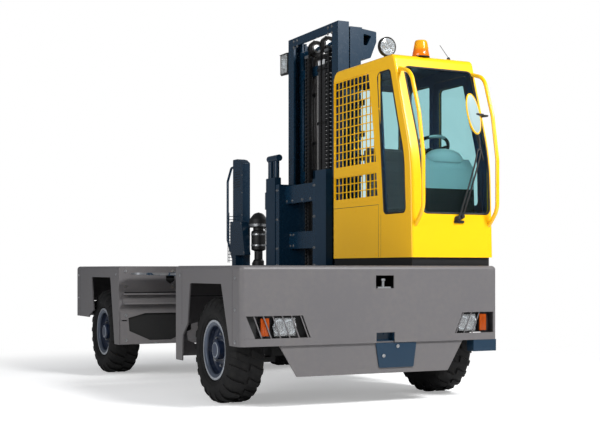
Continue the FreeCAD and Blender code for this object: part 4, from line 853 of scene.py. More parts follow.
coat_nodes(black_moulding, "roof_work_lamp", "mast_work_lamp")
roof_lamp = (1.275, 0.700, 3.115)
bezel = turned([(-0.012, 0.074), (-0.012, 0.0875), (0.003, 0.0875), (0.006, 0.083), (0.004, 0.075)],
               roof_lamp, (1, 0, 0), 44)
bezel.materials.append(black_moulding)
bowl = turned([(0.0004, 0.0), (0.0004, 0.018), (0.0012, 0.030), (0.0018, 0.060), (0.0012, 0.076),
               (0.0002, 0.076)], roof_lamp, (1, 0, 0), 44)
bowl.materials.append(bright_reflector)
glass = turned([(0.0030, 0.0), (0.0030, 0.0755), (0.0050, 0.0755), (0.0100, 0.045), (0.0120, 0.0)],
               roof_lamp, (1, 0, 0), 44)
glass.materials.append(clear_lens)
ribs = grow(rib_tree, dots([(0, 0, 0)]), count=9, step=(0, 0.013, 0),
            first=(roof_lamp[0] + 0.0085, roof_lamp[1] - 0.052, roof_lamp[2]), rib_size=(0.003, 0.005, 0.050),
            finish=clear_lens)
square_back = bars([((-0.752, 0.5985, 3.170), (-0.614, 0.6005, 3.352))], 0.0009)
square_back.materials.append(black_moulding)
mast_lamp_x, mast_lamp_z = -0.683, 3.261
square_bowl = turned([(0.0002, 0.0), (0.0002, 0.0300), (0.0010, 0.0400), (0.0004, 0.0440), (0.0, 0.0440),
                      (0.0, 0.0)], (mast_lamp_x, 0.5980, mast_lamp_z), (0, -1, 0), 32)
square_bowl.materials.append(bright_reflector)
square_glass = bars([((-0.758, 0.5925, 3.164), (-0.608, 0.5975, 3.358))], 0.002)
square_glass.materials.append(clear_lens)
square_ribs = grow(rib_tree, dots([(0, 0, 0)]), count=10, step=(rib_pitch, 0, 0),
                   first=(mast_lamp_x - 4.5 * rib_pitch, 0.5925, mast_lamp_z),
                   rib_size=(0.005, 0.0025, 0.088), finish=clear_lens)
visor = bars([((-0.768, 0.580, 3.360), (-0.598, 0.604, 3.366)),
              ((-0.768, 0.590, 3.156), (-0.763, 0.604, 3.366)),
              ((-0.603, 0.590, 3.156), (-0.598, 0.604, 3.366)),
              ((-0.768, 0.590, 3.156), (-0.598, 0.604, 3.161))], 0.0015)
visor.materials.append(black_moulding)
mast_lamp = [square_back, square_bowl, square_glass, square_ribs, visor]
finished("roof_lamp_lens", joined("roof_lamp_lens", [bezel, bowl, glass, ribs]), None, "chassis", lamp_slot)
finished("mast_lamp_lens", joined("mast_lamp_lens", mast_lamp), None, "mast_base", lamp_slot)

# ---- Console, floor and levers of the cab ----
# The console is pale moulded plastic above a dark kick panel, with a rounded cowl over the instruments.
# The wheel and column are soft black plastic; a ribbed rubber mat covers the floor.
# Moulded ABS: near-black low down and pale grey-green above, with a soft sheen.
console_paint, tree, shader = surface("moulded_console_plastic", Roughness=0.5, Specular_IOR_Level=0.2)
spot = add(tree, "ShaderNodeTexCoord")
axis = add(tree, "ShaderNodeSeparateXYZ", {0: spot.outputs["Object"]})
upper = add(tree, "ShaderNodeMath", {0: axis.outputs["Z"], 1: 1.775}, operation="GREATER_THAN")
ahead = add(tree, "ShaderNodeMath", {0: axis.outputs["X"], 1: 1.935}, operation="GREATER_THAN")
pale = add(tree, "ShaderNodeMath", {0: upper.outputs[0], 1: ahead.outputs[0]}, operation="MULTIPLY")
tint = add(tree, "ShaderNodeMix", {"Factor": pale.outputs[0], 6: srgb("#060607"), 7: srgb("#8fa6aa")},
           data_type="RGBA")
tree.links.new(tint.outputs[2], shader.inputs["Base Color"])
grain(tree, shader, 1.2, 0.15, 0.3)
coat_nodes(console_paint, "dashboard")
# The same plastic, pale all over.
plain_console, tree, shader = surface("pale_cowl_plastic", Roughness=0.45)
shader.inputs["Base Color"].default_value = srgb("#97adb0")
grain(tree, shader, 1.2, 0.15, 0.3)

cowl_form = bmesh.new()
bmesh.ops.create_uvsphere(cowl_form, u_segments=36, v_segments=18, radius=1.0)
for point in cowl_form.verts:
    u, v, w = point.co
    w = math.copysign(abs(w) ** 0.8, w)
    point.co = (1.985 + 0.070 * u + 0.030 * max(0, -u) * w, 0.835 + 0.195 * v, 2.015 + 0.110 * max(w, -0.12))
for face in cowl_form.faces:
    face.smooth = True
cowl = meshed("cowl", cowl_form)
cowl.materials.append(plain_console)
gauges, toward_driver = [], (-1, 0, 0.35)
for y, radius in ((0.735, 0.040), (0.835, 0.052), (0.935, 0.040)):
    centre = (1.902, y, 2.052)
    ring = turned([(0.0, radius - 0.006), (0.0, radius), (0.010, radius - 0.001), (0.010, radius - 0.005)],
                  centre, toward_driver, 28)
    ring.materials.append(black_moulding)
    dial = turned([(0.001, 0.0), (0.001, radius - 0.006), (0.005, radius - 0.006), (0.005, 0.0)],
                  centre, toward_driver, 28)
    dial.materials.append(plain_console)
    gauges += [ring, dial]
binnacle = bars([((1.895, 0.660, 1.985), (1.960, 1.010, 2.062))], 0.018, 3)
binnacle.materials.append(black_moulding)
switches = bars([((1.896, y, 1.905), (1.903, y + 0.028, 1.945))
                 for y in [0.600 + 0.036 * k for k in range(12)]], 0.003)
switches.materials.append(black_moulding)
finished("instrument_cowl", joined("instrument_cowl", [cowl, binnacle, switches] + gauges), None, "chassis",
         rubber_slot)

floor_z = 1.190
levers = []
for k in range(4):
    foot = (1.44 + 0.055 * k, 0.470, 1.500)
    top = (1.47 + 0.060 * k, 0.468, 1.715)
    shaft = tube([foot, ((foot[0] + top[0]) / 2, 0.470, 1.61), top], 0.006)
    shaft.materials.append(zinc_steel)
    knob = turned([(0.0, 0.0), (0.002, 0.011), (0.022, 0.018), (0.040, 0.016), (0.050, 0.008), (0.052, 0.0)],
                  (top[0], top[1], top[2] - 0.012), (0.15, 0, 1), 18)
    knob.materials.append(black_moulding)
    boot = turned([(0.0, 0.0), (0.0, 0.024), (0.008, 0.023), (0.012, 0.017), (0.020, 0.016), (0.024, 0.010),
                   (0.036, 0.008), (0.036, 0.0)], (foot[0], foot[1], 1.497), (0, 0, 1), 18)
    boot.materials.append(black_moulding)
    levers += [shaft, knob, boot]
box_for_levers = bars([((1.36, 0.410, floor_z), (1.70, 0.530, 1.500))], 0.014, 3)
box_for_levers.materials.append(black_moulding)
mat = bars([((1.58, y, floor_z), (1.955, y + 0.012, floor_z + 0.007))
            for y in [0.42 + 0.024 * k for k in range(30)]] +
           [((1.57, 0.41, floor_z), (1.965, 1.15, floor_z + 0.004))])
mat.materials.append(black_moulding)
pedals = bars([((1.945, y, 1.235), (1.957, y + 0.065, 1.330)) for y in (0.70, 0.80)] +
              [((1.86, 0.93, 1.200), (1.95, 1.00, 1.214))], 0.004)
pedals.materials.append(black_moulding)
finished("cab_controls", joined("cab_controls", levers + [box_for_levers, mat, pedals]), None, "chassis",
         rubber_slot)

# ---- Driver's seat ----
# The cushion and the backrest are foam in a woven grey cover, drawn in at its stitched channels and
# piping. The covers are blown out over the foam by a short cloth run.
# Woven cloth: dull, with a soft nap. The weave is drawn coarser than its threads, or it would not show.
seat_cloth, tree, shader = surface("woven_seat_cloth", Roughness=0.9)
weave_size = 0.003
spot = add(tree, "ShaderNodeTexCoord")
weave = add(tree, "ShaderNodeTexChecker", {"Vector": spot.outputs["Object"], "Scale": 1 / weave_size,
                                           "Color1": srgb("#2b3036"), "Color2": srgb("#353b43")})
tree.links.new(weave.outputs["Color"], shader.inputs["Base Color"])
shader.inputs["Sheen Weight"].default_value = 0.25
grain(tree, shader, 1.5, 0.4, 0.4)


def slab(outline, low, high, edge):
    """A block over an (x, z) outline between two widths, with eased edges."""
    form = bmesh.new()
    face = form.faces.new([form.verts.new((x, low, z)) for x, z in outline])
    moved = bmesh.ops.extrude_face_region(form, geom=[face])
    for part in moved["geom"]:
        if isinstance(part, bmesh.types.BMVert):
            part.co.y = high
    bmesh.ops.bevel(form, geom=form.edges[:], offset=edge, segments=3, affect="EDGES", clamp_overlap=True)
    bmesh.ops.recalc_face_normals(form, faces=form.faces)
    return meshed("slab", form)


def stuffed(mesh, stitched, most):
    """A cover blown out over its foam; stitched points stay, and none moves further than most."""
    net_size, pressure, last_moment = 0.0073, 4, 20
    block = place("cover", mesh)
    even = block.modifiers.new("even", "REMESH")
    even.mode, even.voxel_size = "VOXEL", net_size
    cover = evaluated(block)
    start = [point.co.copy() for point in cover.vertices]
    block = place("cover", cover)
    held = block.vertex_groups.new(name="held")
    held.add([k for k, co in enumerate(start) if stitched(co)], 1.0, "REPLACE")
    foam = block.modifiers.new("foam", "CLOTH")
    foam.settings.vertex_group_mass = "held"
    foam.settings.use_pressure = True
    foam.settings.uniform_pressure_force = pressure
    foam.settings.effector_weights.gravity = 0
    for moment in range(1, last_moment + 1):
        scene.frame_set(moment)
    blown = evaluated(block)
    for point, co in zip(blown.vertices, start):
        shift = point.co - co
        point.co = co + shift * min(1.0, most / max(shift.length, 1e-6))
    cover = blown
    block = place("cover", cover)
    finer = block.modifiers.new("finer", "SUBSURF")
    finer.levels = finer.render_levels = 1
    smooth = evaluated(block)
    smooth.shade_smooth()
    return smooth


def by_line(value, *lines):
    """Whether a value lies within 6 mm of one of some lines."""
    return any(abs(value - line) < 0.006 for line in lines)


def seat_seam(co):
    """Whether a point lies by one of the two seams that run along the seat."""
    return by_line(co.y, 0.655, 0.905)


def cushion_held(co):
    """Points of the cushion that its pan and its stitched channels hold."""
    return co.z < 1.530 or seat_seam(co) or by_line(co.x, 1.235, 1.325, 1.415)


def backrest_held(co):
    """Points of the backrest that its rear shell and its stitched channels hold."""
    return co.x < 1.110 - (co.z - 1.612) * 0.097 or seat_seam(co) or by_line(co.z, 1.76, 1.87, 1.98, 2.09)


seat_right, seat_left = 0.575, 0.985
cushion = slab([(1.085, 1.502), (1.545, 1.502), (1.545, 1.612), (1.085, 1.592)],
               seat_right, seat_left, 0.020)
backrest = slab([(1.085, 1.612), (1.175, 1.622), (1.118, 2.205), (1.028, 2.205)],
                seat_right, seat_left, 0.022)
covers = [stuffed(cushion, cushion_held, 0.018), stuffed(backrest, backrest_held, 0.016)]
piece = finished("driver_seat", joined("driver_seat", covers), seat_cloth, "chassis", "seat_fabric", "seat")
belt = bars([((1.10, 0.548, 1.49), (1.16, 0.572, 1.60)), ((1.10, 0.988, 1.49), (1.16, 1.012, 1.58))], 0.006)
runners = bars([((1.08, y, 1.498), (1.54, y + 0.03, 1.504)) for y in (0.62, 0.91)], 0.002)
finished("seat_fittings", joined("seat_fittings", [belt, runners]), black_moulding, "chassis", rubber_slot)

# ---- Wiper, mirror and aerial ----
# A twin-rod wiper sweeps the windscreen from the middle of its foot. The mirror hangs on a bent black rod
# from the pillar on the door side: a pale moulded shell with a yellow rim. The aerial is a thin whip.
wiper_rods = []
wiper_feet, wiper_heads = ((0.865, 1.535), (0.825, 1.515)), ((1.078, 2.100), (1.050, 2.112))


def before_screen(y, z, off):
    """A point a little ahead of the windscreen."""
    return (pillar(z) + off, y, z)


for (y0, z0), (y1, z1) in zip(wiper_feet, wiper_heads):
    run = [before_screen(y0 + (y1 - y0) * k / 8, z0 + (z1 - z0) * k / 8, 0.036) for k in range(9)]
    wiper_rods.append(tube(run, 0.0075))
wiper_rods.append(tube([before_screen(1.050, 2.112, 0.036), before_screen(1.064, 2.106, 0.038),
                        before_screen(1.078, 2.100, 0.036)], 0.009))
wiper_rods.append(tube([before_screen(1.064, 2.106, 0.036), before_screen(1.082, 2.190, 0.034),
                        before_screen(1.080, 2.290, 0.026)], 0.006))
sweep = [before_screen(1.104 - 0.068 * k / 12, 2.020 + 0.560 * k / 12, 0.016) for k in range(13)]
wiper_rods.append(tube(sweep, 0.008))
wiper_rods.append(tube([(x - 0.012, y, z) for x, y, z in sweep], 0.004))
for y, z in wiper_feet:
    wiper_rods.append(turned([(-0.030, 0.0), (-0.030, 0.024), (-0.012, 0.024), (-0.006, 0.017),
                              (0.012, 0.017), (0.018, 0.010), (0.018, 0.0)],
                             before_screen(y, z, 0.030), (1, 0, 0), 20))
wiper_rods.append(bars([((2.192, 0.795, 1.478), (2.213, 0.895, 1.500))], 0.005))
finished("wiper", joined("wiper", wiper_rods), black_moulding, "chassis", rubber_slot)

mirror_x, mirror_y, mirror_z = 2.215, 0.982, 2.405
oval = [(mirror_y + 0.060 * math.cos(a) - 0.039 * math.sin(a), mirror_z + 0.165 * math.sin(a))
        for a in [math.tau * k / 40 for k in range(40)]]
edge = tube([(mirror_x, y, z) for y, z in oval], 0.0075, True)
edge.materials.append(yellow_enamel)
shell_form = bmesh.new()
layers = []
for x, scale in ((mirror_x - 0.004, 0.0), (mirror_x - 0.004, 0.96), (mirror_x + 0.006, 0.96),
                 (mirror_x + 0.013, 0.70), (mirror_x + 0.016, 0.35), (mirror_x + 0.017, 0.0)):
    ring = [shell_form.verts.new((x, mirror_y + (y - mirror_y) * scale, mirror_z + (z - mirror_z) * scale))
            for y, z in (oval if scale else oval[:1])]
    layers.append(ring if scale else ring * len(oval))
skin(shell_form, layers)
bmesh.ops.recalc_face_normals(shell_form, faces=shell_form.faces)
shell = meshed("mirror_shell", shell_form)
shell.materials.append(plain_console)
mirror_glass = turned([(0.0, 0.0), (0.0, 1.0), (0.0012, 1.0), (0.0012, 0.0)], (0, 0, 0), (-1, 0, 0), 40)
mirror_glass.transform(Matrix.Translation((mirror_x - 0.0042, mirror_y, mirror_z))
                       @ Matrix.Diagonal((1, 0.052, 0.150, 1)))
mirror_glass.materials.append(bright_reflector)
arm = tube([(pillar(2.41) - 0.01, 1.168, 2.410), (2.150, 1.168, 2.405), (2.200, 1.140, 2.400),
            (mirror_x + 0.014, 1.095, 2.395), (mirror_x + 0.014, 1.060, 2.395)], 0.008, kind="NURBS")
arm.materials.append(black_moulding)
stub = tube([(mirror_x + 0.014, 1.072, 2.400), (mirror_x + 0.010, 1.000, 2.405)], 0.010)
stub.materials.append(black_moulding)
finished("mirror", joined("mirror", [edge, shell, mirror_glass, arm, stub]), None, "chassis", rubber_slot)

aerial_foot = turned([(0.0, 0.0), (0.0, 0.016), (0.012, 0.014), (0.020, 0.006), (0.020, 0.0)],
                     (1.860, 0.967, 2.921), (0, 0, 1), 18)
whip = tube([(1.860, 0.967, 2.935), (1.858, 0.925, 2.985), (1.856, 0.880, 3.040)], 0.0025)
finished("aerial", joined("aerial", [aerial_foot, whip]), black_moulding, "chassis", rubber_slot)

# ---- Lift chains, pulleys and hoses of the mast ----
# Oiled leaf chains run from the fork carriage over pulleys at the head of the moving mast. Energy chains,
# rubber hoses and clamped steel pipes carry the oil; the rods of the rams are oiled.
# Oiled steel: dark and streaky, with a dull metal gleam.
oiled_steel, tree, shader = surface("oiled_chain_steel", Metallic=0.85, Roughness=0.42)
oil_streak = 0.02
spot = add(tree, "ShaderNodeTexCoord")
film = add(tree, "ShaderNodeTexNoise", {"Vector": spot.outputs["Object"], "Scale": 1 / oil_streak,
                                        "Detail": 4.0})
tint = add(tree, "ShaderNodeMix", {"Factor": film.outputs["Fac"], 6: srgb("#1b1a1a"), 7: srgb("#4b4a4a")},
           data_type="RGBA")
tree.links.new(tint.outputs[2], shader.inputs["Base Color"])
grain(tree, shader, 1.0, 0.05, 0.2)
coat_nodes(oiled_steel, "lift_rods")

chain_tree, sizes = growing_tree("chain_run", ("Link", "Object"), ("Pitch", "Float"))
link = add(chain_tree, "GeometryNodeObjectInfo", {"Object": sizes.outputs["Link"]})
path = add(chain_tree, "GeometryNodeMeshToCurve", {"Mesh": sizes.outputs["Geometry"]})
even = add(chain_tree, "GeometryNodeResampleCurve", {"Curve": path.outputs[0],
                                                     "Length": sizes.outputs["Pitch"]}, mode="LENGTH")
along = add(chain_tree, "GeometryNodeInputTangent")
turn = add(chain_tree, "FunctionNodeAlignRotationToVector", {"Vector": along.outputs[0]}, axis="Z",
           pivot_axis="X")
spread = add(chain_tree, "GeometryNodeInstanceOnPoints", {"Points": even.outputs[0],
                                                          "Instance": link.outputs["Geometry"],
                                                          "Rotation": turn.outputs[0]})
end_tree(chain_tree, sizes, spread.outputs[0])


def run_of(points, link_mesh, pitch, finish):
    """Links set end to end along points."""
    pattern = place("link", link_mesh)
    path = bpy.data.meshes.new("path")
    path.from_pydata(points, [(k, k + 1) for k in range(len(points) - 1)], [])
    result = grow(chain_tree, path, link=pattern, pitch=pitch, finish=finish)
    bpy.data.objects.remove(pattern)
    return result


def link_plate(x, middle, length, height):
    """One waisted plate of a leaf chain, across the chain at x."""
    thick, end, waist = 0.0012, length / 2, length * 0.12
    return [((x - thick, -tall, middle + low), (x + thick, tall, middle + high))
            for tall, low, high in ((height / 2, -end, -waist), (height * 0.36, -waist, waist),
                                    (height / 2, waist, end))]


pitch, half_chain = 0.0254, 0.0148
leaf = []
for x in (-0.0122, -0.0044, 0.0044, 0.0122):
    leaf += link_plate(x, 0.0, pitch * 1.62, 0.0118)
for x in (-0.0083, 0.0, 0.0083):
    leaf += link_plate(x, pitch, pitch * 1.62, 0.0118)
pin_mesh = [turned([(-half_chain, 0.0), (-half_chain, 0.0036), (half_chain, 0.0036), (half_chain, 0.0)],
                   (0, 0, off), (1, 0, 0), 8) for off in (-pitch / 2, pitch / 2)]
leaf_link = joined("leaf_link", [bars(leaf)] + pin_mesh)
pulley_y, pulley_z, pulley_radius, chain_x = 0.690, 3.330, 0.075, 0.130
carriage_y, carriage_foot = pulley_y - pulley_radius, 1.240
anchor_y, anchor_foot = pulley_y + pulley_radius, 0.640
chain_sets = []
for side in (-1, 1):
    x = side * chain_x
    centre = (x, pulley_y, pulley_z)
    route = [(x, carriage_y, carriage_foot), (x, carriage_y, pulley_z)]
    route += [(x, pulley_y - pulley_radius * math.cos(a), pulley_z + pulley_radius * math.sin(a))
              for a in [math.pi * k / 20 for k in range(1, 20)]]
    route += [(x, anchor_y, pulley_z), (x, anchor_y, anchor_foot)]
    chain_sets.append(run_of(route, leaf_link.copy(), pitch * 2, oiled_steel))
    wheel = turned([(-0.024, 0.021), (-0.024, 0.030), (-0.020, 0.034), (-0.014, 0.040), (-0.014, 0.052),
                    (-0.020, 0.060), (-0.024, 0.082), (-0.019, 0.084), (-0.0165, 0.068), (0.0165, 0.068),
                    (0.019, 0.084), (0.024, 0.082), (0.020, 0.060), (0.014, 0.052), (0.014, 0.040),
                    (0.020, 0.034), (0.024, 0.030), (0.024, 0.021)], centre, (1, 0, 0), 40)
    wheel.materials.append(oiled_steel)
    chain_sets.append(wheel)
    for way in (side, -side):
        hub = turned([(0.0242, 0.0185), (0.0242, 0.042), (0.030, 0.040), (0.034, 0.026), (0.034, 0.0185)],
                     centre, (way, 0, 0), 28)
        hub.materials.append(zinc_steel)
        chain_sets.append(hub)
    for y, foot in ((carriage_y, carriage_foot), (anchor_y, anchor_foot)):
        fork_end = bars([((x - half_chain, y - 0.0059, foot), (x + half_chain, y + 0.0059, foot + 0.050))],
                        0.003)
        fork_end.materials.append(oiled_steel)
        stud = tube([(x, y, foot + 0.002), (x, y, foot + 0.072)], 0.0058)
        stud.materials.append(oiled_steel)
        chain_sets += [fork_end, stud]
finished("lift_chain_runs", joined("lift_chain_runs", chain_sets), None, "mast_inner", steel_slot,
         "lift_chains")

energy_link = bars([((-0.040, -0.022, -0.019), (-0.032, 0.022, 0.019)),
                    ((0.032, -0.022, -0.019), (0.040, 0.022, 0.019)),
                    ((-0.036, -0.020, -0.008), (0.036, -0.015, 0.008)),
                    ((-0.036, 0.015, -0.008), (0.036, 0.020, 0.008))], 0.002, 1)
strip, energy_y = [], 0.650
for x in (-0.215, 0.215):
    strip.append(run_of([(x, energy_y, 0.640), (x, energy_y, 3.250)], energy_link.copy(), 0.040,
                        black_moulding))
    for dx in (-0.014, 0.014):
        hose = tube([(x + dx, energy_y, 0.620), (x + dx, energy_y, 3.270)], 0.009)
        hose.materials.append(seal_rubber)
        strip.append(hose)
    clamp = bars([((x - 0.045, 0.622, z), (x + 0.045, 0.683, z + 0.030)) for z in (0.625, 3.245)], 0.005)
    clamp.materials.append(zinc_steel)
    strip.append(clamp)
    for dx in (-0.040, 0.0, 0.040):
        pipe = tube([(x + dx, 0.713, 0.700), (x + dx, 0.713, 3.040)], 0.0075)
        pipe.materials.append(oiled_steel)
        strip.append(pipe)
    saddles = bars([((x - 0.055, 0.700, z), (x + 0.055, 0.726, z + 0.035))
                    for z in (0.86, 1.36, 1.86, 2.36, 2.86)], 0.006)
    saddles.materials.append(black_moulding)
    strip.append(saddles)
hose_y = 0.690
for x in [-0.060 + 0.030 * k for k in range(5)]:
    hose = tube([(x, hose_y, 0.640), (x, hose_y, 3.230)], 0.012)
    hose.materials.append(seal_rubber)
    sleeve = turned([(0.0, 0.0), (0.0, 0.0132), (0.004, 0.0142), (0.036, 0.0142), (0.039, 0.0120),
                     (0.052, 0.0120), (0.052, 0.0)], (x, hose_y, 3.150), (0, 0, 1), 14)
    sleeve.materials.append(zinc_steel)
    strip += [hose, sleeve]
junction = bars([((-0.082, 0.674, 3.200), (0.082, 0.706, 3.248))], 0.006)
junction.materials.append(oiled_steel)
strip.append(junction)
combs = bars([((-0.082, 0.674, z), (0.082, 0.706, z + 0.028)) for z in (0.66, 1.10, 1.55, 2.04, 2.55, 3.09)],
             0.005)
combs.materials.append(black_moulding)
strip.append(combs)
finished("mast_hoses", joined("mast_hoses", strip), None, "mast_inner", rubber_slot)

# ---- Bolts and plates of the mast and the fork carriage ----
# Flange bolts hold the head crossbar of the moving mast and the plates of the fork carriage. Their heads
# are zinc-plated, and the enamel of the fork toes is worn bright by loads.
to_load = (0, -1, 0)
mast_screws = screws([(x, 0.5795, z) for x in (-0.42, -0.34, 0.34, 0.42) for z in (3.39, 3.45)],
                     to_load, 0.011, 0.008)
finished("inner_mast_bolts", mast_screws, None, "mast_inner", steel_slot)
carriage_screws = [screws([(x, 0.3861, z) for x in (-0.428, -0.400, 0.407, 0.432)
                           for z in (1.13, 1.30, 1.60, 1.90)], to_load, 0.009, 0.007),
                   screws([(x, 0.4558, 1.785) for x in (-0.33, -0.20, 0.02, 0.20, 0.30)],
                          to_load, 0.011, 0.008),
                   screws([(x, 0.4998, z) for x in (-0.34, -0.27, 0.27, 0.34) for z in (1.33, 1.44)],
                          to_load, 0.011, 0.008)]
finished("carriage_bolts", joined("carriage_bolts", carriage_screws), None, "lift_carriage", steel_slot)

# The blue coat of the forks is scuffed through to bare steel towards the toes.
fork_paint = enamel("worn_fork_enamel", "#0d2c42", "#162d3b", roughness=0.34, dust=0.4)
scuff_size = 0.08
tree = fork_paint.node_tree
shader = tree.nodes["Principled BSDF"]
coat = shader.inputs["Base Color"].links[0].from_socket
spot = add(tree, "ShaderNodeTexCoord")
axis = add(tree, "ShaderNodeSeparateXYZ", {0: spot.outputs["Object"]})
toe = add(tree, "ShaderNodeMapRange", {"Value": axis.outputs["Y"], "From Min": 0.10, "From Max": -1.05,
                                       "To Min": 0.05, "To Max": 0.62})
scuff = add(tree, "ShaderNodeTexNoise", {"Vector": spot.outputs["Object"], "Scale": 1 / scuff_size,
                                         "Detail": 7.0, "Roughness": 0.7})
rubbed = add(tree, "ShaderNodeMath", {0: scuff.outputs["Fac"], 1: toe.outputs[0]}, operation="LESS_THAN")
bare = add(tree, "ShaderNodeMix", {"Factor": rubbed.outputs[0], 6: coat, 7: srgb("#8a8c90")},
           data_type="RGBA")
tree.links.new(bare.outputs[2], shader.inputs["Base Color"])
shine = add(tree, "ShaderNodeMath", {0: rubbed.outputs[0], 1: 0.8}, operation="MULTIPLY")
tree.links.new(shine.outputs[0], shader.inputs["Metallic"])
coat_nodes(fork_paint, "forks")

# ---- Silencer, filters and pre-cleaner behind the mast ----
# The ladder on the silencer's guard is painted dark blue. The pre-cleaner is black moulding with bright
# clamp bands; two plated spin-on filters hang beside it, with their hoses.
coat_nodes(black_moulding, "air_cleaner")
blue_slot = "mast_blue"
filters, filter_x, cleaner_foot = [], -1.560, (-1.312, 0.582, 1.120)
for y in (0.748, 0.830):
    can = turned([(0.0, 0.0), (0.0, 0.026), (0.006, 0.034), (0.150, 0.034), (0.156, 0.030), (0.156, 0.0)],
                 (filter_x, y, 1.395), (0, 0, 1), 28)
    can.materials.append(zinc_steel)
    head_block = bars([((filter_x - 0.042, y - 0.042, 1.552), (filter_x + 0.042, y + 0.042, 1.602))], 0.008)
    head_block.materials.append(black_moulding)
    plug = turned([(0.0, 0.0), (0.0, 0.013), (0.012, 0.013), (0.012, 0.0)],
                  (filter_x, y, 1.602), (0, 0, 1), 6)
    plug.materials.append(zinc_steel)
    filters += [can, head_block, plug]
bracket = bars([((-1.640, 0.590, 1.560), (-1.500, 0.880, 1.590))], 0.006)
bracket.materials.append(black_moulding)
feed = tube([(-1.560, 0.875, 1.578), (-1.500, 0.930, 1.560), (-1.440, 0.940, 1.40), (-1.420, 0.900, 1.20),
             (-1.420, 0.860, 1.140)], 0.010, kind="NURBS")
feed.materials.append(seal_rubber)
back = tube([(-1.520, 0.748, 1.585), (-1.420, 0.740, 1.600), (-1.340, 0.640, 1.560), (-1.320, 0.600, 1.420),
             (-1.312, 0.585, 1.350)], 0.014, kind="NURBS")
back.materials.append(seal_rubber)
straps = [turned([(z, 0.0795), (z, 0.0825), (z + 0.018, 0.0825), (z + 0.018, 0.0795)],
                 cleaner_foot, (0, 0, 1), 40) for z in (0.225, 0.345)]
for band in straps:
    band.materials.append(zinc_steel)
collar = turned([(0.442, 0.100), (0.442, 0.1055), (0.466, 0.1085), (0.470, 0.1085), (0.470, 0.100)],
                cleaner_foot, (0, 0, 1), 44)
collar.materials.append(zinc_steel)
finished("filters", joined("filters", filters + [bracket, feed, back, collar] + straps), None, "chassis",
         "engine_iron")

steps = bars([((-1.842, 0.436, z), (-1.800, 0.4985, z + 0.006))
              for z in [1.185 + 0.036 * k for k in range(15)]] +
             [((x, 0.434, 1.165), (x + 0.006, 0.440, 1.735)) for x in (-1.842, -1.806)], 0.0015, 1)
finished("stack_ladder", steps, blue_enamel, "chassis", blue_slot)
guard_screws = screws([(x, 0.4249, 1.275) for x in (-1.72, -1.36)] +
                      [(x, 0.4249, 1.600) for x in (-1.72, -1.44)], to_load, 0.009, 0.006)
finished("guard_screws", guard_screws, None, "chassis", steel_slot)

# ---- Pressed seams and cover strips of the cab ----
# The load side of the cab has a cover strip between the wire guard and the quarter window. Below it a
# folded seam runs down to the sill, and another crosses under the guards.
cover = bars([((1.655, 0.3775, 1.655), (1.688, 0.381, 2.820))], 0.0012)
cover.materials.append(yellow_enamel)
lips = bars([((0.850, 0.3780, z), (1.640, 0.381, z + 0.014)) for z in (1.690, 2.822)] +
            [((0.838, 0.3780, 1.690), (0.850, 0.381, 2.836))], 0.0010)
lips.materials.append(yellow_enamel)
grooves = bars([((0.825, 0.3796, 1.648), (1.655, 0.381, 1.652)),
                ((1.653, 0.3796, 1.195), (1.657, 0.381, 1.650)),
                ((1.695, 0.3796, 1.195), (1.6975, 0.381, 1.560))])
grooves.materials.append(gap_dark)
sill_screws = screws([(x, 0.3798, z) for x in (0.870, 1.240, 1.610) for z in (1.225, 1.615)] +
                     [(1.672, 0.3773, z) for z in (1.720, 2.100, 2.480, 2.790)], to_load, 0.007, 0.004,
                     yellow_enamel)
rear_grooves = bars([((0.8176, 0.40, z), (0.8190, 1.17, z + 0.004)) for z in (1.560, 1.215)])
rear_grooves.materials.append(gap_dark)
finished("cab_seams", joined("cab_seams", [cover, lips, grooves, sill_screws, rear_grooves]), None,
         "chassis", "cab_yellow")

# ---- Door furniture ----
# The door has a black pull across its recess with a lock barrel below. Two shallow folds stiffen the
# panel under the pane.
pocket = bars([((1.902, 1.1690, 1.547), (2.046, 1.1710, 1.603))], 0.0006)
pocket.materials.append(black_moulding)
grip = bars([((1.904, 1.1792, 1.5655), (2.044, 1.1915, 1.5845))], 0.005, 3)
grip.materials.append(black_moulding)
barrel = turned([(0.0, 0.0), (0.0, 0.011), (0.003, 0.011), (0.003, 0.0)],
                (2.022, 1.1895, 1.512), (0, 1, 0), 20)
barrel.materials.append(zinc_steel)
folds = bars([((1.345, 1.1885, z), (2.05, 1.1905, z + 0.006)) for z in (1.330, 1.560)], 0.0008)
folds.materials.append(yellow_enamel)
finished("door_furniture", joined("door_furniture", [pocket, grip, barrel, folds]), None, "door", rubber_slot)

# ---- Hump of the roof ventilator ----
# A low dark blue housing behind the cab roof carries the air for the heater, with louvres towards the
# rear.
hump = slab([(0.835, 2.925), (1.060, 2.925), (1.050, 2.985), (1.020, 3.012), (0.880, 3.012), (0.842, 2.985)],
            0.930, 1.172, 0.012)
hump.materials.append(blue_enamel)
louvres = bars([((0.834, 0.960, z), (0.842, 1.142, z + 0.005)) for z in (2.940, 2.952, 2.964, 2.976)], 0.001)
louvres.materials.append(black_moulding)
finished("ventilator", joined("ventilator", [hump, louvres]), None, "chassis", blue_slot)
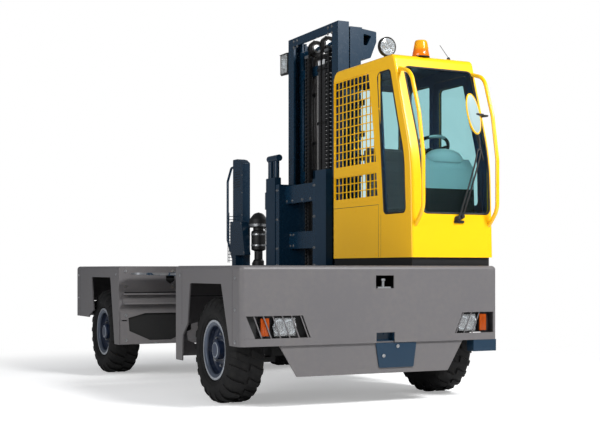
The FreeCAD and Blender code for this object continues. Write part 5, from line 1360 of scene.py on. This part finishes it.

# ---- Painted shade in the folds of the well walls ----
# The transverse walls of the mast well are folded. Near-black strips laid on them paint the shade in the
# folds above the guide rail and over the doubling plate.
fold_shade_strips = []
for x0, x1 in ((well_rear - 0.0005, well_rear + 0.0008), (well_front - 0.0008, well_front + 0.0005)):
    fold_shade_strips += [((x0, -1.130, 0.760), (x1, 0.36, 0.806)), ((x0, -1.130, 0.8535), (x1, -0.50, 0.8605))]
finished("wall_folds", bars(fold_shade_strips), gap_dark, "chassis", grey_slot)

# ---- Corner plate and step bolts of the front fascia ----
# A welded grey plate closes the slanted outer end of the front recess on the load side. Two plated bolts
# hold the front step.
recess_low, recess_high, face_x = 0.5575, 0.7305, front_x - 0.0015


def plate(outline, x0, x1):
    """A flat plate over a (y, z) outline between two lengths."""
    form = bmesh.new()
    face = form.faces.new([form.verts.new((x0, y, z)) for y, z in outline])
    moved = bmesh.ops.extrude_face_region(form, geom=[face])
    for part in moved["geom"]:
        if isinstance(part, bmesh.types.BMVert):
            part.co.x = x1
    bmesh.ops.recalc_face_normals(form, faces=form.faces)
    return meshed("plate", form)


corner = plate([(-1.149, recess_low), (-1.149, recess_high), (-1.140, recess_high), (-1.062, recess_low)],
               face_x - 0.010, face_x)
corner.materials.append(grey_enamel)
finished("recess_corner", corner, None, "chassis", grey_slot)
step_bolts = screws([(2.2630, y, z) for y, z in ((0.075, 0.391), (0.207, 0.467))], (1, 0, 0), 0.010, 0.005)
finished("step_bolts", step_bolts, None, "chassis", steel_slot)

# ---- Vents and screws of the silencer casing ----
# The casing is folded sheet in the dark blue of the mast, with pressed vents near its head. Small plated
# screws run down the seams at its corners.
vents = bars([((-1.800, y, z), (-1.640, y + 0.0035, z + 0.008)) for y in (0.4980, 0.5885)
              for z in [2.020 + 0.028 * k for k in range(7)]], 0.0014)
vents.materials.append(gap_dark)
casing_rear, casing_front = -1.825, -1.580
casing_screws = [screws([(casing_rear, 0.4999, z) for z in (1.78, 2.00, 2.22)] +
                        [(casing_front, 0.4999, z) for z in (1.70, 1.95, 2.15)], to_load, 0.007, 0.004),
                 screws([(x, 0.5901, z) for x in (casing_rear, casing_front)
                         for z in (1.22, 1.55, 1.88, 2.15)], (0, 1, 0), 0.007, 0.004)]
finished("casing_fixings", joined("casing_fixings", [vents] + casing_screws), None, "chassis", blue_slot)
